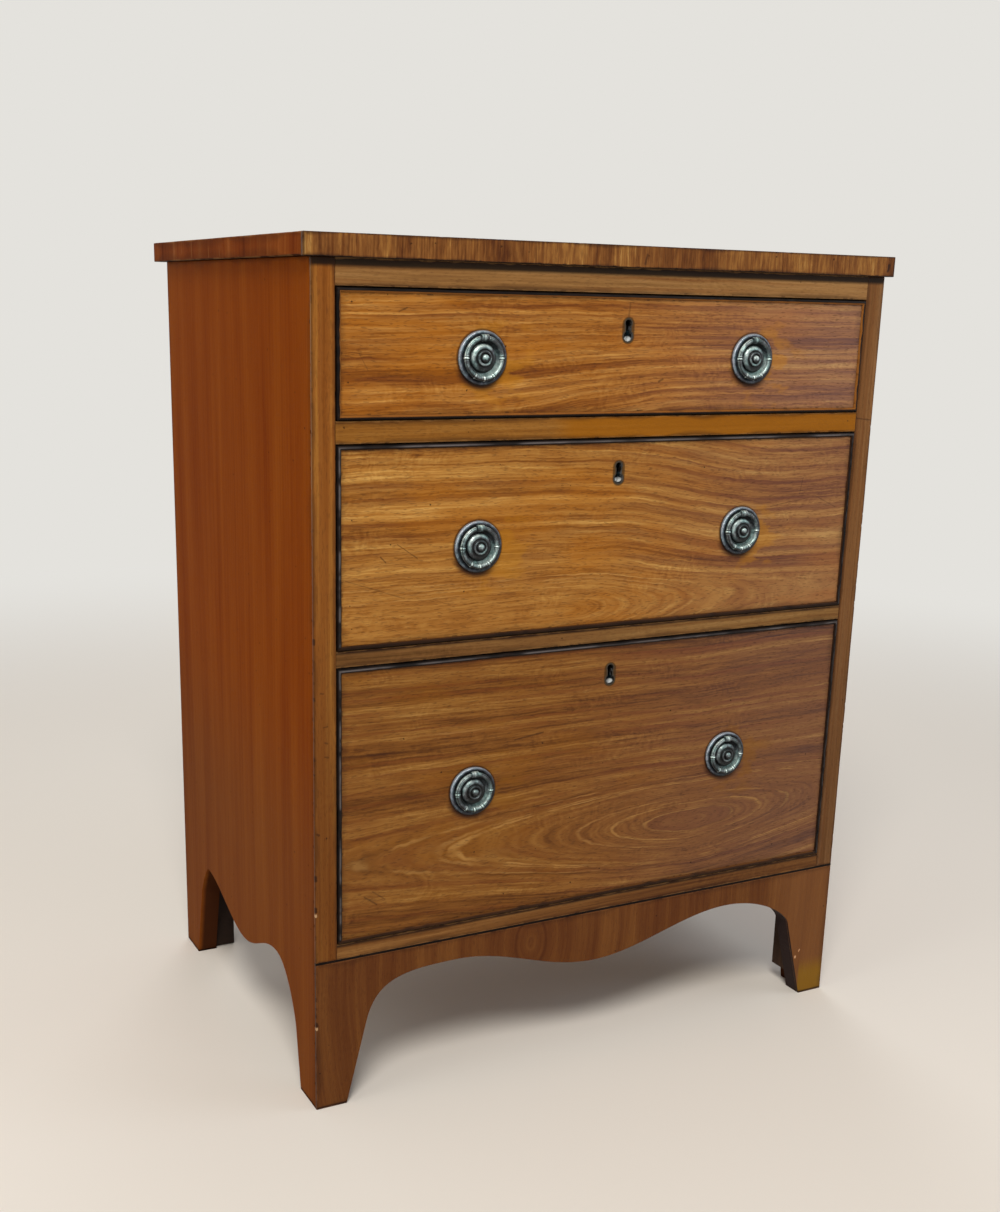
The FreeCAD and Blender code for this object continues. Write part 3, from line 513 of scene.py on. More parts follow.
def pullTraceAndShade(level):   # halo, dirt and painted shadow round the two backplates of one drawer, and painted shade in its keyhole
    low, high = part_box(level + "_drawer_pull_plates")
    height = (low.z + high.z) / 2
    holeLow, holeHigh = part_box(level + "_drawer_keyhole_liner")
    keyhole = (holeLow + holeHigh) / 2 + Vector((0, keyholeDepth, 0))

    def paint(tree, point, colour):
        marks = useGroup(tree, pullMarksAndShadow, {"Point": point, "Height": height, "Seed": height * 9})
        colour = paintOver(tree, colour, haloTints[level], marks["Halo"], 0.42)
        # painted shadow under each plate, then dirt and painted contact shade at its edge
        colour = paintOver(tree, colour, "321304", marks["Shadow Below"], 0.85)
        colour = paintOver(tree, colour, "2c1507", marks["Dirt"], 0.7)
        away = vectorMaths(tree, "SUBTRACT", point, joinPoint(tree, keyhole.x, keyhole.z, keyhole.y))
        x, z, y = splitPoint(tree, vectorMaths(tree, "ABSOLUTE", away))
        upDown = maths(tree, "MAXIMUM", minus(tree, z, 0.0055), 0.0)
        ring = vectorMaths(tree, "LENGTH", joinPoint(tree, x, upDown, 0.0))
        colour = paintOver(tree, colour, "33240a", remap(tree, ring, 0.0072, 0.0058, 0.0, 0.75))
        # painted shade: the wood round the keyway is black inside the hole
        near = times(tree, remap(tree, x, 0.012, 0.009), remap(tree, z, 0.018, 0.014))
        colour = paintOver(tree, colour, "060404", near, remap(tree, y, 0.0085, 0.007))
        return keyGleam(tree, addNode(tree, "TexCoord").outputs["Object"], colour, level)
    return paint


beadWidth = 0.004
frontLooks = {
    "upper": {
        "seed": 3.0,
        "grain": {"Open Before": 0.02, "Open After": 0.02, "Sway": 0.005, "Ripple": 0.0015, "Rise": 0.026},
        "figure": {"Band": 0.26, "Streak": 0.34, "Fibre": 0.28, "Mottle": 0.14, "Band Size": 0.013,
                   "Streak Size": 0.0068, "Streak Reach": 0.4, "Level": 0.53, "Ring Size": 0.0105},
        "palette": ["5a2e08", "7a4510", "9c6425", "b27d3b", "cf9f58"], "drift": ("766e78", 0.3, -0.05, 0.27),
        "glow": ("a8640a", 0.42),
        "marks": [((-222, 724), (-215, 727), 0.9, 0.5), ((4, 724), (5, 735), 1.6, 0.35),
                  ((40, 666), (44, 668), 1.8, 0.6), ((-258, 690), (-250, 676), 0.6, 0.3)],
    },
    "middle": {
        "seed": 8.0,
        "grain": {"Heart Along": -0.05, "Heart Across": 0.457, "Open Before": 0.03, "Open After": 0.267,
                  "Span": 0.15, "Sway": 0.006, "Ripple": 0.0017, "Rise": -0.02, "Rise Start": -0.01,
                  "Rise End": 0.19, "Rise Low": 0.5, "Rise High": 0.47},
        "figure": {"Band": 0.24, "Streak": 0.34, "Fibre": 0.28, "Mottle": 0.15, "Band Size": 0.014,
                   "Streak Size": 0.0068, "Streak Reach": 0.5, "Level": 0.56, "Calm": 0.75,
                   "Ring Size": 0.0115},
        "palette": ["562e0a", "784714", "9a6629", "af7e3c", "ca9c55"], "drift": ("5a4b58", 0.3, -0.05, 0.27),
        "glow": ("a8660e", 0.4),
        "outlines": [(0.0235, 0.4), (0.0275, 0.35), (0.0305, 0.4), (0.0345, 0.5)],
        "marks": [((-222, 529), (-203, 516), 0.8, 0.55), ((-238, 519), (-233, 514), 1.0, 0.6),
                  ((-270, 500), (-215, 481), 0.8, 0.35), ((215, 556), (218, 572), 0.7, 0.4),
                  ((180, 545), (236, 553), 0.7, 0.35), ((236, 553), (262, 541), 0.7, 0.35)],
    },
    "lower": {
        "seed": 14.0,
        "grain": {"Heart Along": 0.107, "Heart Across": 0.228, "Tilt Before": -0.03, "Tilt After": 0.06,
                  "Open Before": 0.204, "Open After": 0.215, "Sway": 0.004, "Ripple": 0.0012, "Depth": 0.002},
        "figure": {"Band": 0.22, "Streak": 0.32, "Fibre": 0.26, "Mottle": 0.13, "Band Size": 0.014,
                   "Streak Size": 0.0062, "Streak Reach": 0.5, "Level": 0.48, "Calm": 0.75,
                   "Ring Size": 0.0095},
        # darker than the others: browner wood, and painted shade of the light falling off downwards
        "palette": ["43230a", "613910", "7e501e", "91652d", "ae8346"], "drift": ("61545f", 0.25, -0.1, 0.27),
        "glow": ("865208", 0.34), "heart": ("6c3f1e", 0.45, 0.0112),
        "outlines": [(0.0112, 0.3), (0.0185, 0.3), (0.0249, 0.2), (0.0404, 0.4), (0.0418, 0.25),
                     (0.0458, 0.25)],
        "marks": [((-100, 338), (-70, 342), 1.3, 0.55), ((-252, 206), (-240, 197), 1.4, 0.5),
                  ((-244, 210), (-232, 201), 1.2, 0.4), ((-120, 396), (-119, 404), 0.7, 0.2)],
    },
}
woods = {}
for level, look in frontLooks.items():
    inner = insetBox(level + "_drawer_front", beadWidth, beadWidth)
    woods[level + "Front"] = woodMaterial(level + "Front", {
        **look, "box": inner, "dirt": 0.3, "dirtReach": 0.006, "extra": pullTraceAndShade(level), "veins": 0.72,
        "pores": 0.4, "holes": 0.8, "cell": 0.036,
        "outlineColour": "c69a58", "rough": 0.42, "gloss": 0.13, "coat": 0.03})

polished = {"rough": 0.36, "gloss": 0.003}


def paintedShadowUnderTop(axis):   # painted shadow: the corner below the top board is darkened to near-black
    def paint(tree, point, colour):
        height = splitPoint(tree, point)[axis]
        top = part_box("top_rail")[1].z
        return paintOver(tree, colour, "0c0704", remap(tree, height, top - 0.0088, top - 0.0048, 0.0, 0.94))
    return paint


stileLooks = {
    "left": ["5f3410", "7c4716", "8a5420", "9c6a2c", "b3853f"],
    "right": ["4f3218", "6a4522", "7c5530", "8a6540", "9c7a52"],
}
cornerMarks = {   # millimetres up and across, width, strength, colour
    "right": [((629, 279), (627, 299), 1.2, 0.5)],
    "left": [((451, -299.4), (447, -299.2), 1.6, 0.8), ((399, -299.5), (397, -299.3), 1.4, 0.7),
             ((345, -299.5), (342.5, -299.3), 1.4, 0.6), ((233.5, -299.4), (230, -299), 2.4, 0.9),
             ((203, -299.4), (200, -299.2), 1.8, 0.9), ((196.8, -299.3), (195.4, -299.3), 1.5, 0.8, "c9a880"),
             ((403, -293.5), (402.5, -291.2), 1.6, 0.5), ((372, -291), (372.5, -287.5), 1.3, 0.45),
             ((358, -289.6), (357, -287.4), 1.6, 0.45), ((345, -290), (344, -287), 1.6, 0.45),
             ((274, -297.5), (273, -296), 1.6, 0.6)],
}
for name, palette in stileLooks.items():
    woods[name + "Stile"] = woodMaterial(name + "Stile", {
        "axes": "ZXY", "extra": paintedShadowUnderTop(0), "veins": 0.4, "seed": 25.0 + sides[name],
        "box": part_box(name + "_stile"), "palette": palette, "wear": 0.35,
        "wearColour": "5a3418", "dirt": 0.5, "dirtReach": 0.004, "nicks": 0.3,
        "marks": cornerMarks[name],
        "drift": ("3e2008", 0.4, 0.6, 0.25),
        "grain": {"Heart Across": -1.2, "Sway": 0.002, "Ripple": 0.0006},
        "figure": {"Band": 0.25, "Streak": 0.25, "Fibre": 0.1, "Mottle": 0.08, "Band Size": 0.012,
                   "Streak Size": 0.003, "Streak Reach": 0.5}})


def ochreHalf(tree, point, colour):   # the right half of this rail is a strong yellow
    along = splitPoint(tree, point)[0]
    amount = remap(tree, along, -0.075, -0.045, 0.0, 0.75)
    return paintOver(tree, colour, "965c05", amount)


def paintedShadowUnderBead(node, reach):   # painted shadow cast by a drawer's bead on the rail below it
    def paint(tree, point, colour):
        along, height, through = splitPoint(tree, point)
        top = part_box(node)[1].z
        loose = centred(tree, noiseAt(tree, point, (16, 16, 16), 5.0, 2.0), 0.0012)
        depth = plus(tree, minus(tree, top, height), loose)
        return paintOver(tree, colour, "1c0d05", remap(tree, depth, reach, reach * 0.35, 0.0, 0.9))
    return paint


railLooks = {
    "top_rail": {"palette": ["4c3018", "6e4b28", "8a6438", "9a7447", "b08a58"], "seed": 31.0,
                 "extra": paintedShadowUnderTop(1), "veins": 0.5},
    "upper_divider": {"palette": ["5a3410", "75491a", "86571f", "94662c", "a97c3e"], "seed": 33.0,
                      "extra": ochreHalf},
    "lower_divider": {"palette": ["402812", "5c3d1c", "74502a", "846136", "997648"], "seed": 35.0,
                      "extra": paintedShadowUnderBead("lower_divider", 0.0034)},
    "bottom_rail": {"palette": ["3f210f", "5b3719", "6f4822", "7f572d", "966c3c"], "seed": 37.0,
                    "extra": paintedShadowUnderBead("bottom_rail", 0.004)},
}
for node, look in railLooks.items():
    woods[node] = woodMaterial(node + "Veneer", {
        "box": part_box(node), "dirt": 0.6, "dirtReach": 0.004, "wear": 0.2,
        "grain": {"Heart Across": -0.6, "Sway": 0.004, "Ripple": 0.0008},
        "figure": {"Band": 0.25, "Streak": 0.3, "Fibre": 0.12, "Mottle": 0.08, "Band Size": 0.02,
                   "Streak Size": 0.005, "Streak Reach": 0.3}, **look})


def cutEdges(tree, point, colour):   # sawn edges of the scrolled boards are dark and dull
    facing = splitPoint(tree, addNode(tree, "TexCoord").outputs["Normal"])[1]
    return paintOver(tree, colour, "281917", remap(tree, maths(tree, "ABSOLUTE", facing), 0.75, 0.5))


def bareAndShadedUnderside(tree, point, colour):   # bare wood below, painted near-black as shade
    facing = splitPoint(tree, addNode(tree, "TexCoord").outputs["Normal"])[2]
    return paintOver(tree, colour, "0e0804", remap(tree, facing, -0.1, -0.5, 0.0, 0.9))


def floorGrimeAndContactShadow(tree, point, colour):   # the last millimetres of a foot: blackened by damp and mops, and painted dark as a contact shadow
    up = splitPoint(tree, point)[0]
    return paintOver(tree, colour, "130b07", remap(tree, up, 0.0036, 0.0014, 0.0, 0.85))


def sideBareAndShaded(tree, point, colour):   # the hidden face and the sawn edges of a side are bare, dull wood, painted darker inwards as shade
    through = splitPoint(tree, point)[2]
    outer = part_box("right_side")[1].x
    amount = remap(tree, maths(tree, "ABSOLUTE", through), outer - 0.0008, outer - 0.006, 0.0, 0.85)
    return floorGrimeAndContactShadow(tree, point, paintOver(tree, colour, "2f1a12", amount))


woods["side"] = woodMaterial("sidePanel", {
    **polished, "axes": "ZYX", "seed": 21.0, "box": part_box("left_side"), "dirt": 0.3, "dirtReach": 0.008,
    "wear": 0.25, "wearColour": "8a4c22", "nicks": 0.6,
    "grain": {"Heart Across": -1.4, "Open Before": 0.03, "Open After": 0.03, "Sway": 0.006, "Ripple": 0.0006},
    "figure": {"Band": 0.2, "Streak": 0.16, "Fibre": 0.1, "Mottle": 0.04, "Band Size": 0.03,
               "Streak Size": 0.004, "Streak Reach": 0.7},
    "palette": ["602703", "743203", "803d05", "89470a", "965514"], "pores": 0.15,
    # the drift greys the side towards the bottom as a painted reflection
    "drift": ("3c4a38", 0.2, 0.42, 0.2), "extra": sideBareAndShaded})


def footStain(tree, point, colour):   # yellow patch and knocks low on the right foot
    up, along, through = splitPoint(tree, point)
    colour = paintOver(tree, colour, "8a5c34", remap(tree, along, 0.2, 0.26, 0.0, 0.4))
    low = remap(tree, up, 0.044, 0.022)
    spot = times(tree, low, remap(tree, along, 0.266, 0.2684))
    colour = paintOver(tree, colour, "86620c", spot, 0.75)
    return floorGrimeAndContactShadow(tree, point, cutEdges(tree, point, colour))


woods["apron"] = woodMaterial("apronCrossband", {
    "axes": "ZXY", "seed": 41.0, "box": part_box("apron_facing"), "extra": footStain, "dirt": 0.4, "wear": 0.2,
    "dirtReach": 0.006, "wearColour": "9a6236",
    "grain": {"Heart Along": 0.128, "Heart Across": -0.075, "Open Before": 0.6, "Open After": 0.6,
              "Sway": 0.006},
    "figure": {"Band": 0.22, "Streak": 0.2, "Fibre": 0.1, "Mottle": 0.05, "Band Size": 0.022,
               "Streak Size": 0.0045, "Streak Reach": 0.2},
    "palette": ["43200b", "572e11", "633917", "6f441d", "825527"],
    "marks": [((53, 266), (51.4, 265.2), 1.4, 0.85, "d2a074"),
              ((45.8, 260.8), (44.6, 260.6), 1.7, 0.9, "dcae84"), ((89, -299.3), (86.5, -299), 2, 0.9),
              ((84, -299.2), (82.8, -299.2), 1.5, 0.8, "c9a880")]})
woods["topBand"] = woodMaterial("topCrossband", {
    "axes": "ZXY", "seed": 45.0, "box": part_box("top_edge_band"), "dirt": 0.7, "wear": 0.3, "nicks": 0.6,
    "dirtReach": 0.0028, "wearReach": 0.0009, "wearColour": "2e1c12", "dirtColour": "1c1110",
    "marks": [((771, 299.5), (776, 300.5), 2.6, 0.8), ((769, 16), (777, 18), 1.6, 0.5)],
    "grain": {"Heart Across": -0.9, "Sway": 0.001, "Ripple": 0.0005}, "veins": 0.25, "extra": bareAndShadedUnderside,
    "figure": {"Band": 0.28, "Streak": 0.26, "Fibre": 0.26, "Mottle": 0.0, "Band Size": 0.03,
               "Ring Size": 0.006, "Streak Size": 0.0036, "Streak Reach": 0.02, "Level": 0.48},
    "palette": ["4a2712", "643c1b", "7c5027", "946733", "b58c50"]})
woods["top"] = woodMaterial("topMahogany", {
    **polished, "axes": "XYZ", "seed": 47.0, "box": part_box("top_board"), "dirt": 0.4, "wear": 0.2,
    "grain": {"Heart Along": -0.1, "Heart Across": 0.06, "Open Before": 0.08, "Open After": 0.16,
              "Sway": 0.012},
    "figure": {"Band": 0.25, "Streak": 0.25, "Fibre": 0.1, "Mottle": 0.1, "Band Size": 0.03,
               "Streak Size": 0.006, "Streak Reach": 0.5},
    "palette": ["521f08", "6c300b", "783a10", "834617", "97582a"], "outlines": [(0.03, 0.3), (0.06, 0.3)],
    "extra": bareAndShadedUnderside})


def shadedCornerBlocks(tree, point, colour):   # painted shade: glue blocks in the corners of the feet darken towards the back and the sides
    across, depth, up = splitPoint(tree, point)
    back = remap(tree, depth, 0.12, 0.16, 0.0, 0.35)
    side = remap(tree, maths(tree, "ABSOLUTE", across), 0.24, 0.256, 0.0, 0.5)
    return paintOver(tree, colour, "150d0e", plus(tree, back, side))


pinePalette = ["4a2d15", "6f4a26", "8a6238", "a07a4a", "b89462"]
inside = {"rough": 0.72, "gloss": 0.2, "coat": 0.0, "dirt": 0.55, "dirtColour": "2a1b10", "nicks": 0.3,
          "cell": 0.05, "relief": 0.00012, "palette": pinePalette,
          "figure": {"Band": 0.2, "Streak": 0.22, "Fibre": 0.14, "Mottle": 0.0, "Band Size": 0.05,
                     "Streak Size": 0.011, "Streak Reach": 0.5, "Level": 0.48}}
insideLooks = {
    "back_boards": {"axes": "XZY", "seed": 51.0, "boards": (0.149, 0.2058),
                    "grain": {"Heart Along": 0.1, "Heart Across": 0.262, "Open Before": 0.2,
                              "Open After": 0.12, "Sway": 0.02}},
    "back_rail": {"axes": "XZY", "seed": 52.0},
    "bottom_board": {"axes": "XYZ", "seed": 53.0,
                     "grain": {"Heart Across": 0.0, "Open Before": 0.1, "Sway": 0.02}},
    "apron_board": {"axes": "XZY", "seed": 54.0, "grain": {"Sway": 0.012}, "extra": cutEdges},
    "drawer_runners": {"axes": "YXZ", "seed": 55.0},
    "top_kickers": {"axes": "YXZ", "seed": 56.0},
    "drawer_stops": {"axes": "XZY", "seed": 57.0},
    # the glue blocks' dark palette is painted shade for where they sit behind the feet
    "glue_blocks": {"axes": "XYZ", "seed": 58.0,
                    "palette": ["2a1a12", "3c281a", "4e3624", "604630", "765c42"], "extra": shadedCornerBlocks},
}
for node, look in insideLooks.items():
    woods[node] = woodMaterial(node + "Pine", {**inside, "box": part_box(node), "dirtReach": 0.012, **look})
oak = {"rough": 0.66, "gloss": 0.2, "coat": 0.0, "dirt": 0.5, "dirtColour": "2c1c0f", "nicks": 0.3,
       "cell": 0.06, "relief": 0.0001, "pores": 0.5,
       "palette": ["5a3d22", "7d5c38", "94724a", "a78660", "bfa07a"],
       "figure": {"Band": 0.2, "Streak": 0.3, "Fibre": 0.2, "Mottle": 0.12, "Band Size": 0.04,
                  "Streak Size": 0.005, "Streak Reach": 0.3}}
print("wood materials made")


# metal and ebonised wood

def violetRim(tree, place, colour):   # the reeded rim of a backplate is greyer than its boss
    rim = addNode(tree, "Attribute", attribute_name="rim").outputs["Fac"]
    return blendColours(tree, times(tree, rim, 0.7), colour, tint("9a92b0"), "MULTIPLY")


def shadedHole(tree, place, colour):   # painted shade: black inside, with painted glints on the walls and painted highlights deep in; its edge stained by polish
    across, through, up = splitPoint(tree, addNode(tree, "TexCoord").outputs["Normal"])
    spots = remap(tree, noiseAt(tree, place, (260, 260, 260), 3.0, 1.0), 0.5, 0.66)
    wallGlint = times(tree, remap(tree, across, -0.4, -0.8), spots)
    colour = paintOver(tree, tint("120c07"), "2e220a", remap(tree, through, -0.5, -0.8))
    colour = paintOver(tree, colour, "70757c", wallGlint, 0.6)
    for level in levels:
        colour = keyGleam(tree, place, colour, level)
    return colour


def shadedLockFace(tree, place, colour):   # painted shade: the part of a lock case that shows through the keyhole is black, with painted highlights
    depth = splitPoint(tree, place)[1]
    colour = paintOver(tree, colour, "050404", remap(tree, depth, -0.199, -0.203))
    for level in levels:
        colour = keyGleam(tree, place, colour, level)
    return colour


def metalMaterial(name, look):
    material, tree, shader = newMaterial(name)
    place, point = objectPoint(tree)
    age = useGroup(tree, patina, {"Place": place, "Blotch": look["blotch"], "Seed": look["seed"]})
    wear = addNode(tree, "Attribute", attribute_name="wear").outputs["Fac"] if look["worn"] else 0.5
    level = timesPlus(tree, centred(tree, age["Blotch"], 0.5), look["patch"], wear)
    if look["worn"]:   # painted light and shade: faces turned up and to the left are lighter, undersides darker
        sideways, forward, upward = splitPoint(tree, addNode(tree, "TexCoord").outputs["Normal"])
        level = timesPlus(tree, sideways, look["lean"][0], level)
        level = timesPlus(tree, upward, look["lean"][1], level)
    colour = toneRamp(tree, level, look["palette"])
    colour = blendColours(tree, times(tree, age["Hue"], look["hue"][1]), colour, tint(look["hue"][0]),
                          "SOFT_LIGHT")
    colour = paintOver(tree, colour, "0c0b0b", age["Pit"], 0.5)
    if look["extra"]:
        colour = look["extra"](tree, place, colour)
    rough = remap(tree, level, 0.0, 1.0, look["rough"][0], look["rough"][1], smooth=False)
    bump = addNode(tree, "Bump", {"Height": times(tree, age["Pit"], -1.0), "Distance": 0.00004})
    plug(tree, shader.inputs["Base Color"], colour)
    plug(tree, shader.inputs["Roughness"], rough)
    plug(tree, shader.inputs["Normal"], bump.outputs[0])
    shader.inputs["Metallic"].default_value = look["metal"]
    return material


brass = metalMaterial("pullBrass", {
    "palette": ["08080a", "1e2023", "4c5157", "8fa0a4", "d6e8e8"], "blotch": 260.0, "patch": 0.26,
    "seed": 2.0, "hue": ("7fb4ae", 0.5), "rough": (0.5, 0.3), "metal": 0.4, "worn": True,
    # lean: painted light, lighter on faces turned to the left and up
    "lean": (-0.16, 0.3), "extra": violetRim})
steel = metalMaterial("lockSteel", {
    "palette": ["1c1a19", "3a3836", "6a6864", "9a9894", "c8c6c0"], "blotch": 120.0, "patch": 0.8, "seed": 5.0,
    "hue": ("8a6a4a", 0.3), "rough": (0.6, 0.32), "metal": 0.35, "worn": False, "extra": shadedLockFace})
liner = metalMaterial("keyholeLiner", {
    "palette": ["2c2924", "57524a", "8a857a", "b4b0a4", "d8d6cc"], "blotch": 300.0, "patch": 0.7, "seed": 6.0,
    "hue": ("9aa89a", 0.3), "rough": (0.6, 0.45), "metal": 0.05, "worn": False, "extra": shadedHole})
iron = metalMaterial("rustyIron", {
    "palette": ["17100c", "2e1a10", "4a2a18", "5e3b26", "7a5a44"], "blotch": 200.0, "patch": 0.9, "seed": 7.0,
    "hue": ("8a4a20", 0.5), "rough": (0.85, 0.6), "metal": 0.4, "worn": False, "extra": None})


def ebonisedMaterial(name, seed, worn):   # dark-stained strip, worn = how strongly its crown shows rubbing and a painted highlight
    material, tree, shader = newMaterial(name)
    place, point = objectPoint(tree)
    wide = noiseAt(tree, place, (16, 16, 60), seed, 2.0)
    fine = noiseAt(tree, place, (60, 200, 200), seed, 2.0)
    base = paintOver(tree, tint("060404"), "150c08", remap(tree, fine, 0.4, 0.65))
    if worn:
        rubAndHighlight = addNode(tree, "Attribute", attribute_name="wear").outputs["Fac"]
        amount = times(tree, rubAndHighlight, remap(tree, wide, 0.4, 0.6, 0.1, 1.0))
        # grey crown: rubbing and a painted highlight
        base = paintOver(tree, base, "8c8688", amount, worn)
        faded = times(tree, rubAndHighlight, remap(tree, wide, 0.3, 0.6, -1.0, -0.5))
        base = paintOver(tree, base, "4c2e18", faded)
        bare = times(tree, remap(tree, rubAndHighlight, -0.7, -1.2), remap(tree, fine, 0.3, 0.5, 0.5, 1.0))
        base = paintOver(tree, base, "845321", bare)
    plug(tree, shader.inputs["Base Color"], base)
    plug(tree, shader.inputs["Roughness"], remap(tree, fine, 0.3, 0.7, 0.35, 0.5))
    bump = addNode(tree, "Bump", {"Height": fine, "Distance": 0.00006})
    plug(tree, shader.inputs["Normal"], bump.outputs[0])
    shader.inputs["Specular IOR Level"].default_value = 0.1
    return material


beadBlack = {level: ebonisedMaterial(level + "BeadBlack", 61.0, worn)
             for level, worn in {"upper": 0.12, "middle": 0.55, "lower": 0.5}.items()}
stringBlack = ebonisedMaterial("stringBlack", 63.0, 0)
print("metal materials made")


# mesh building

def buildPiece(name, verts, faces, material, body, slot, nodes, marks=None, sharp=38):
    mesh = bpy.data.meshes.new(name)
    mesh.from_pydata(verts, [], faces)
    mesh.validate()
    mesh.shade_smooth()
    mesh.set_sharp_from_angle(angle=math.radians(sharp))
    for label, values in (marks or {}).items():
        mesh.attributes.new(label, "FLOAT", "POINT").data.foreach_set("value", values)
    mesh.materials.append(material)
    piece = bpy.data.objects.new(name, mesh)
    bpy.context.scene.collection.objects.link(piece)
    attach(piece, body)
    if nodes:
        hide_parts(*nodes)
    return piece


def bandFaces(rings, steps, closed=False, flip=False):   # quads between neighbouring rings of points
    faces = []
    for k in range(rings if closed else rings - 1):
        a, b = k * steps, (k + 1) % rings * steps
        for i in range(steps):
            j = (i + 1) % steps
            faces.append([a + i, b + i, b + j, a + j] if flip else [a + i, a + j, b + j, b + i])
    return faces


def joinParts(parts):   # several (verts, faces, wear) become one
    verts, faces, wear = [], [], []
    for someVerts, someFaces, someWear in parts:
        start = len(verts)
        verts += someVerts
        faces += [[start + i for i in face] for face in someFaces]
        wear += someWear
    return verts, faces, wear


def gridLines(low, high, arris, step):   # close together near both ends, even between
    steps = 5
    rise = [arris * (1 - math.cos(math.pi / 2 * i / steps)) for i in range(steps + 1)]
    inner = high - low - 2 * arris
    count = max(1, round(inner / step))
    middle = [low + arris + inner * i / count for i in range(1, count)]
    return [low + r for r in rise] + middle + [high - r for r in reversed(rise)]


def boxSurface(lines):
    index, verts, faces = {}, [], []
    last = [len(line) - 1 for line in lines]

    def corner(key):
        if key not in index:
            index[key] = len(verts)
            verts.append(Vector([lines[axis][key[axis]] for axis in range(3)]))
        return index[key]

    for axis in range(3):
        one, two = (axis + 1) % 3, (axis + 2) % 3
        for end in (0, last[axis]):
            for i in range(last[one]):
                for j in range(last[two]):
                    quad = []
                    for a, b in ((i, j), (i + 1, j), (i + 1, j + 1), (i, j + 1)):
                        key = [0, 0, 0]
                        key[axis], key[one], key[two] = end, a, b
                        quad.append(corner(tuple(key)))
                    faces.append(quad if end else quad[::-1])
    return verts, faces


def wornBoard(low, high, look):
    # A board whose rounded arrises change in size along their run, with nicks, on a slightly uneven face.
    draw = random.Random(look["seed"])
    bucketSize = 0.01
    lines = [gridLines(low[a], high[a], look["arris"] * 1.6, look["steps"][a]) for a in range(3)]
    verts, faces = boxSurface(lines)
    main = max(range(3), key=lambda a: high[a] - low[a])
    nicks = {}
    for _ in range(look["nicks"]):
        spot = Vector([draw.choice((low[a], high[a])) for a in range(3)])
        spot[main] = draw.uniform(low[main], high[main])
        size = draw.uniform(*look["nickSize"])
        for bucket in (-1, 0, 1):
            nicks.setdefault(int(spot[main] / bucketSize) + bucket, []).append((spot, size))
    done = []
    for vert in verts:
        swell = 1 + 0.6 * noise.noise(vert * 14 + Vector((look["seed"], 0, 0)))
        arris = look["arris"] * swell * look["keep"](vert)
        for spot, size in nicks.get(int(vert[main] / bucketSize), ()):
            arris += 1.1 * size * math.exp(-((vert - spot).length / size) ** 2)
        arris = min(arris, look["arris"] * 3)
        inner = Vector([min(max(vert[a], low[a] + arris), high[a] - arris) for a in range(3)])
        out = vert - inner
        dip = look["dip"] * (0.5 + 0.5 * noise.noise(vert * 9))
        done.append(inner + out.normalized() * (arris - dip))
    return done, faces


def turned(profile, place, steps, ribs=None):
    # Turns (radius, height, wear) about the forward axis through place; ribs says how far a point moves.
    verts, wear = [], []
    for radius, rise, worn in profile:
        for i in range(steps):
            angle = 2 * math.pi * i / steps
            extra = ribs(radius, rise, angle) if ribs else (0, 0)
            reach = radius + extra[0]
            spot = Vector((reach * math.cos(angle), -(rise + extra[1]), reach * math.sin(angle)))
            verts.append(place + spot * mm)
            wear.append(worn)
    faces = bandFaces(len(profile), steps, flip=True)
    faces.append(list(range(steps)))
    faces.append([(len(profile) - 1) * steps + i for i in range(steps)][::-1])
    return verts, faces, wear


def smoothLine(points, steps):   # a soft line through the points
    made = []
    for i in range(len(points) - 1):
        p0, p1, p2, p3 = (points[min(max(k, 0), len(points) - 1)] for k in (i - 1, i, i + 1, i + 2))
        for s in range(steps):
            t = s / steps
            made.append(tuple(0.5 * (2 * b + (c - a) * t + (2 * a - 5 * b + 4 * c - d) * t * t
                                     + (3 * b - a - 3 * c + d) * t ** 3) for a, b, c, d in zip(p0, p1, p2, p3)))
    return made + [points[-1]]


def noCut(angle):
    return 0


def tube(centres, frames, radii, steps, worn, cut=noCut):   # a round section swept along centres
    verts, wear = [], []
    for centre, (right, up), radius, mark in zip(centres, frames, radii, worn):
        for i in range(steps):
            angle = 2 * math.pi * i / steps
            deep = cut(angle)
            outward = right * math.cos(angle) + up * math.sin(angle)
            verts.append(centre + outward * radius * (1 - 0.14 * deep))
            wear.append(mark * (1 - 0.7 * deep))
    faces = bandFaces(len(centres), steps)
    faces.append(list(range(steps))[::-1])
    faces.append([(len(centres) - 1) * steps + i for i in range(steps)])
    return verts, faces, wear


# top board and its front band

def notNearFront(front):   # arrises stay tight where the band is glued on
    return lambda vert: 0.15 + 0.85 * min(1, max(0, (vert.y - front) / 0.004))


topLow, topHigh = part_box("top_board")
topLook = {"arris": 0.0015, "steps": (0.005, 0.006, 0.003), "nicks": 60, "nickSize": (0.0012, 0.003),
           "seed": 5, "dip": 0.00012, "keep": notNearFront(topLow.y)}
buildPiece("topBoard", *wornBoard(topLow, topHigh, topLook), woods["top"], "carcass", "mahogany_top",
           ["top_board"])
bandLow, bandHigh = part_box("top_edge_band")
bandHigh = bandHigh + Vector((0, 0.0012, 0))   # its back arris is buried in the board
bandLook = {"arris": 0.0008, "steps": (0.0016, 0.001, 0.002), "nicks": 90, "nickSize": (0.0008, 0.0022),
            "seed": 9, "dip": 0.0001, "keep": lambda vert: 0.3 if vert.y > bandHigh.y - 0.001 else 1.0}
buildPiece("topEdgeBand", *wornBoard(bandLow, bandHigh, bandLook), woods["topBand"], "carcass", "crossband",
           ["top_edge_band"])

# stiles

